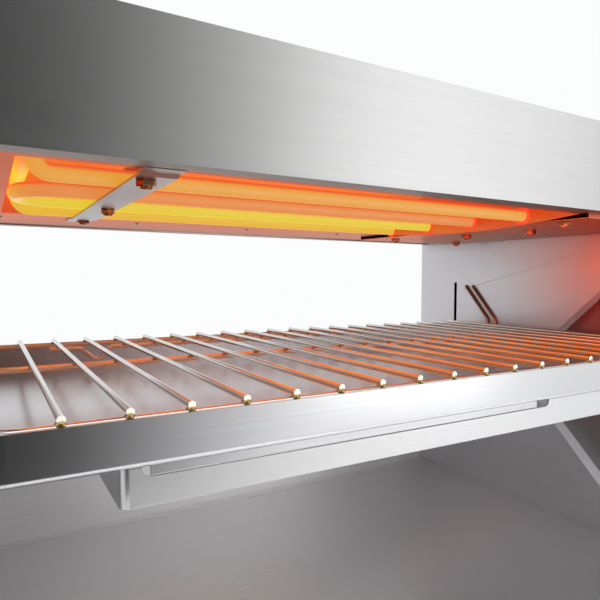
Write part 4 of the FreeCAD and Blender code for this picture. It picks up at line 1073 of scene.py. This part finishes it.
def make_lens_material():
    low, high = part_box("lamp_lenses")
    material, tree, shader = start_material("lens plastic", lens_amber, Roughness=0.08, Coat_Weight=0.5,
                                            Subsurface_Weight=0.3, Emission_Strength=0.25)
    place = shader_node(tree, "TexCoord", "Object")
    offset = vector_maths(tree, "SUBTRACT", place, (low + high) / 2)
    x, z = [shader_node(tree, "SeparateXYZ", axis, Vector=offset) for axis in "XZ"]
    local = maths(tree, "SUBTRACT", maths(tree, "ABSOLUTE", x), lens_offset)
    spot = shader_node(tree, "CombineXYZ", "Vector", X=local, Z=z)
    radius = vector_maths(tree, "LENGTH", spot, output="Value")
    wave = maths(tree, "SINE", maths(tree, "MULTIPLY", radius, lens_ring))
    colour = mix_colours(tree, maths(tree, "GREATER_THAN", x, 0.0), lens_green, lens_amber)
    relief = shader_node(tree, "Bump", "Normal", Strength=0.25, Distance=plastic_relief, Height=wave)
    fill_sockets(tree, shader, Base_Color=colour, Emission_Color=colour, Normal=relief)
    return material


finish_node("lamp_lenses", make_lens_material())
finish_node("lamp_bezels", frame_material)


# Supply inlet and terminal blocks
# A nylon gland with its nuts takes the supply cord through the rear cover to a
# moulded block on the deck. A second block joins the tubes' leads in the hood.
gland_grey = (0.050, 0.050, 0.053, 1)
gland_dusty = (0.13, 0.13, 0.13, 1)
gland_material = moulded_plastic(
    "gland nylon", gland_grey, gland_dusty, 1100.0, roughness=0.35, bump=0.3)
finish_nodes(("cable_gland", "gland_nuts"), gland_material)
finish_node("terminal_blocks", gear_material)


# Wiring
# A loom in a woven glass sleeve climbs from the block on the deck into the hood,
# and four thinner sleeved leads run from the tubes' studs to the block there.
sleeve_light = (0.78, 0.75, 0.66, 1)
sleeve_shade = (0.40, 0.37, 0.30, 1)
sleeve_threads = 1500.0
loom_radius = 0.004
loom_route = ((0.3365, 0.141, 0.0970), (0.3365, 0.141, 0.3922), (0.3365, 0.141, 0.4522),
              (0.2765, 0.141, 0.4522), (0.1580, 0.141, 0.4522))
lead_radius = 0.0015
lead_level = 0.4666
lead_start = 0.1120
lead_end = 0.1250
lead_step = 0.0064
lead_ease = 0.0170
sleeve_material = woven_glass("glass sleeve", sleeve_light, sleeve_shade, sleeve_threads)


def make_sleeve(name, route, radius):
    curve = bpy.data.curves.new(name, "CURVE")
    curve.dimensions = "3D"
    curve.bevel_depth = radius
    curve.bevel_resolution = 5
    curve.use_fill_caps = True
    curve.resolution_u = 16
    line = curve.splines.new("NURBS")
    line.points.add(len(route) - 1)
    for point, place in zip(line.points, route):
        point.co = (*place, 1.0)
    line.order_u = 3
    line.use_endpoint_u = True
    curve.materials.append(sleeve_material)
    sleeve = add_object(name, curve)
    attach(sleeve, "chassis")
    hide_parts("wiring_loom")


make_sleeve("loom_sleeve", loom_route, loom_radius)
for number, y in enumerate(tube_y):
    x = loom_route[-1][0] - (number + 1) * lead_step
    lead_route = ((lead_start, y, lead_level), (x - lead_ease, y, lead_level), (x, y, lead_level),
                  (x, y + lead_ease, lead_level), (x, lead_end, lead_level))
    make_sleeve("tube_lead_%d" % (number + 1), lead_route, lead_radius)


# Studio
# A pale floor that fades into a white background, soft boxes round the object,
# and a dark card beside the camera that only the steel reflects.
floor_size = 24.0
floor_fade_from = 0.9
floor_fade_to = 2.2
backdrop_white = (0.97, 0.975, 0.98, 1)
floor_grey = (0.80, 0.80, 0.80, 1)
room_white = (0.97, 0.98, 1.0, 1)
room_reach = 0.6
room_brightness = (0.55, 0.92)
card_left = -0.75
card_dark_to = -0.31
card_right = 0.07
card_front = -0.68
card_foot = 0.001
card_height = 1.3
card_darkest = 0.01
card_brightest = 0.92
card_curve = 1.35
card_low = (0.22, 0.45)
card_low_gain = 1.4
white_light = (1.0, 1.0, 1.0)
# Name, place, what it points at, width, height, brightness and colour.
soft_boxes = (
    ("key", (1.32, -2.0, 1.2), (0.1, 0.0, 0.35), 2.1, 2.2, 0.95, white_light),
    ("top", (0.0, 0.0, 2.4), (0.0, 0.0, 0.3), 2.6, 2.6, 0.8, white_light),
    ("fill", (-2.4, -0.2, 1.2), (0.0, 0.0, 0.3), 1.6, 1.8, 0.8, white_light),
    ("low", (0.48, -1.25, 0.02), (0.0, 0.0, 0.3), 0.95, 0.7, 1.0, white_light),
    ("under", (0.1, -0.60, 0.16), (0.1, 0.2, 0.16), 0.8, 0.2, 6.0, white_light),
    ("glow", (-0.136, -0.046, 0.4215), (-0.136, -0.046, 0.0), 0.42, 0.25, 0.45, (1.0, 0.12, 0.03)),
    ("side_glow", (0.09, -0.115, 0.398), (0.255, -0.115, 0.395), 0.17, 0.05, 2.5, (1.0, 0.20, 0.10)),
)


def bare_material(name):
    # A material without a shader, for what isn't part of the object.
    material = bpy.data.materials.new(name)
    material.use_nodes = True
    material.node_tree.nodes.clear()
    return material, material.node_tree


def give_surface(tree, output, surface):
    fill_sockets(tree, tree.nodes.new("ShaderNode" + output), Surface=surface)


def make_floor():
    bpy.ops.mesh.primitive_plane_add(size=floor_size)
    floor = bpy.context.object
    floor.name = "floor"
    material, tree = bare_material("floor")
    diffuse = shader_node(tree, "BsdfDiffuse", "BSDF", Color=floor_grey)
    white = shader_node(tree, "Emission", "Emission", Color=backdrop_white, Strength=1.0)
    length = vector_maths(tree, "LENGTH", shader_node(tree, "TexCoord", "Object"), output="Value")
    fade = ramp_between(tree, length, floor_fade_from, floor_fade_to, smooth=True)
    seen = maths(tree, "MAXIMUM", shader_node(tree, "LightPath", "Is Camera Ray"),
                 shader_node(tree, "LightPath", "Is Glossy Ray"))
    share = maths(tree, "MULTIPLY", fade, seen)
    give_surface(tree, "OutputMaterial",
                 numbered_node(tree, "MixShader", "Shader", (share, diffuse, white)))
    floor.data.materials.append(material)


def make_world():
    # Seen directly it is white; for light and reflections it is paler behind the object than in front.
    world = bpy.data.worlds.new("studio")
    bpy.context.scene.world = world
    world.use_nodes = True
    tree = world.node_tree
    tree.nodes.clear()
    depth = ramp_between(
        tree, along(tree, "Y", "Generated"), -room_reach, room_reach, *room_brightness)
    white = shader_node(tree, "Background", "Background", Color=backdrop_white, Strength=1.0)
    room = shader_node(tree, "Background", "Background", Color=room_white, Strength=depth)
    seen = shader_node(tree, "LightPath", "Is Camera Ray")
    give_surface(tree, "OutputWorld",
                 numbered_node(tree, "MixShader", "Shader", (seen, room, white)))


def add_soft_box(name, place, target, width, height, brightness, colour):
    data = bpy.data.lights.new(name, "AREA")
    data.shape = "RECTANGLE"
    data.size = width
    data.size_y = height
    data.energy = brightness * math.pi * width * height
    data.color = colour
    lamp = add_object(name, data)
    lamp.location = place
    lamp.rotation_mode = "QUATERNION"
    lamp.rotation_quaternion = (Vector(target) - Vector(place)).to_track_quat("-Z", "Y")
    lamp.visible_camera = False
    return lamp


def add_card():
    # Dark at its left and paler to the right, and brighter low down.
    mesh = bpy.data.meshes.new("flag")
    corners = [(x, card_front, z) for x, z in (
        (card_left, card_foot), (card_right, card_foot),
        (card_right, card_height), (card_left, card_height))]
    mesh.from_pydata(corners, [], [(0, 1, 2, 3)])
    card = add_object("flag", mesh)
    material, tree = bare_material("flag")
    across = ramp_between(tree, along(tree, "X"), card_dark_to, card_right)
    bent = maths(tree, "POWER", across, card_curve)
    level = ramp_between(tree, bent, 0.0, 1.0, card_darkest, card_brightest)
    lower = ramp_between(tree, along(tree, "Z"), *card_low, card_low_gain, 1.0)
    pale = shader_node(tree, "Emission", "Emission", Strength=maths(tree, "MULTIPLY", level, lower))
    give_surface(tree, "OutputMaterial", pale)
    mesh.materials.append(material)
    card.visible_camera = False
    card.visible_diffuse = False
    card.visible_shadow = False


make_floor()
make_world()
lamps = {box[0]: add_soft_box(*box) for box in soft_boxes}
lamps["under"].visible_glossy = False
add_card()
bpy.context.scene.view_settings.view_transform = "Standard"
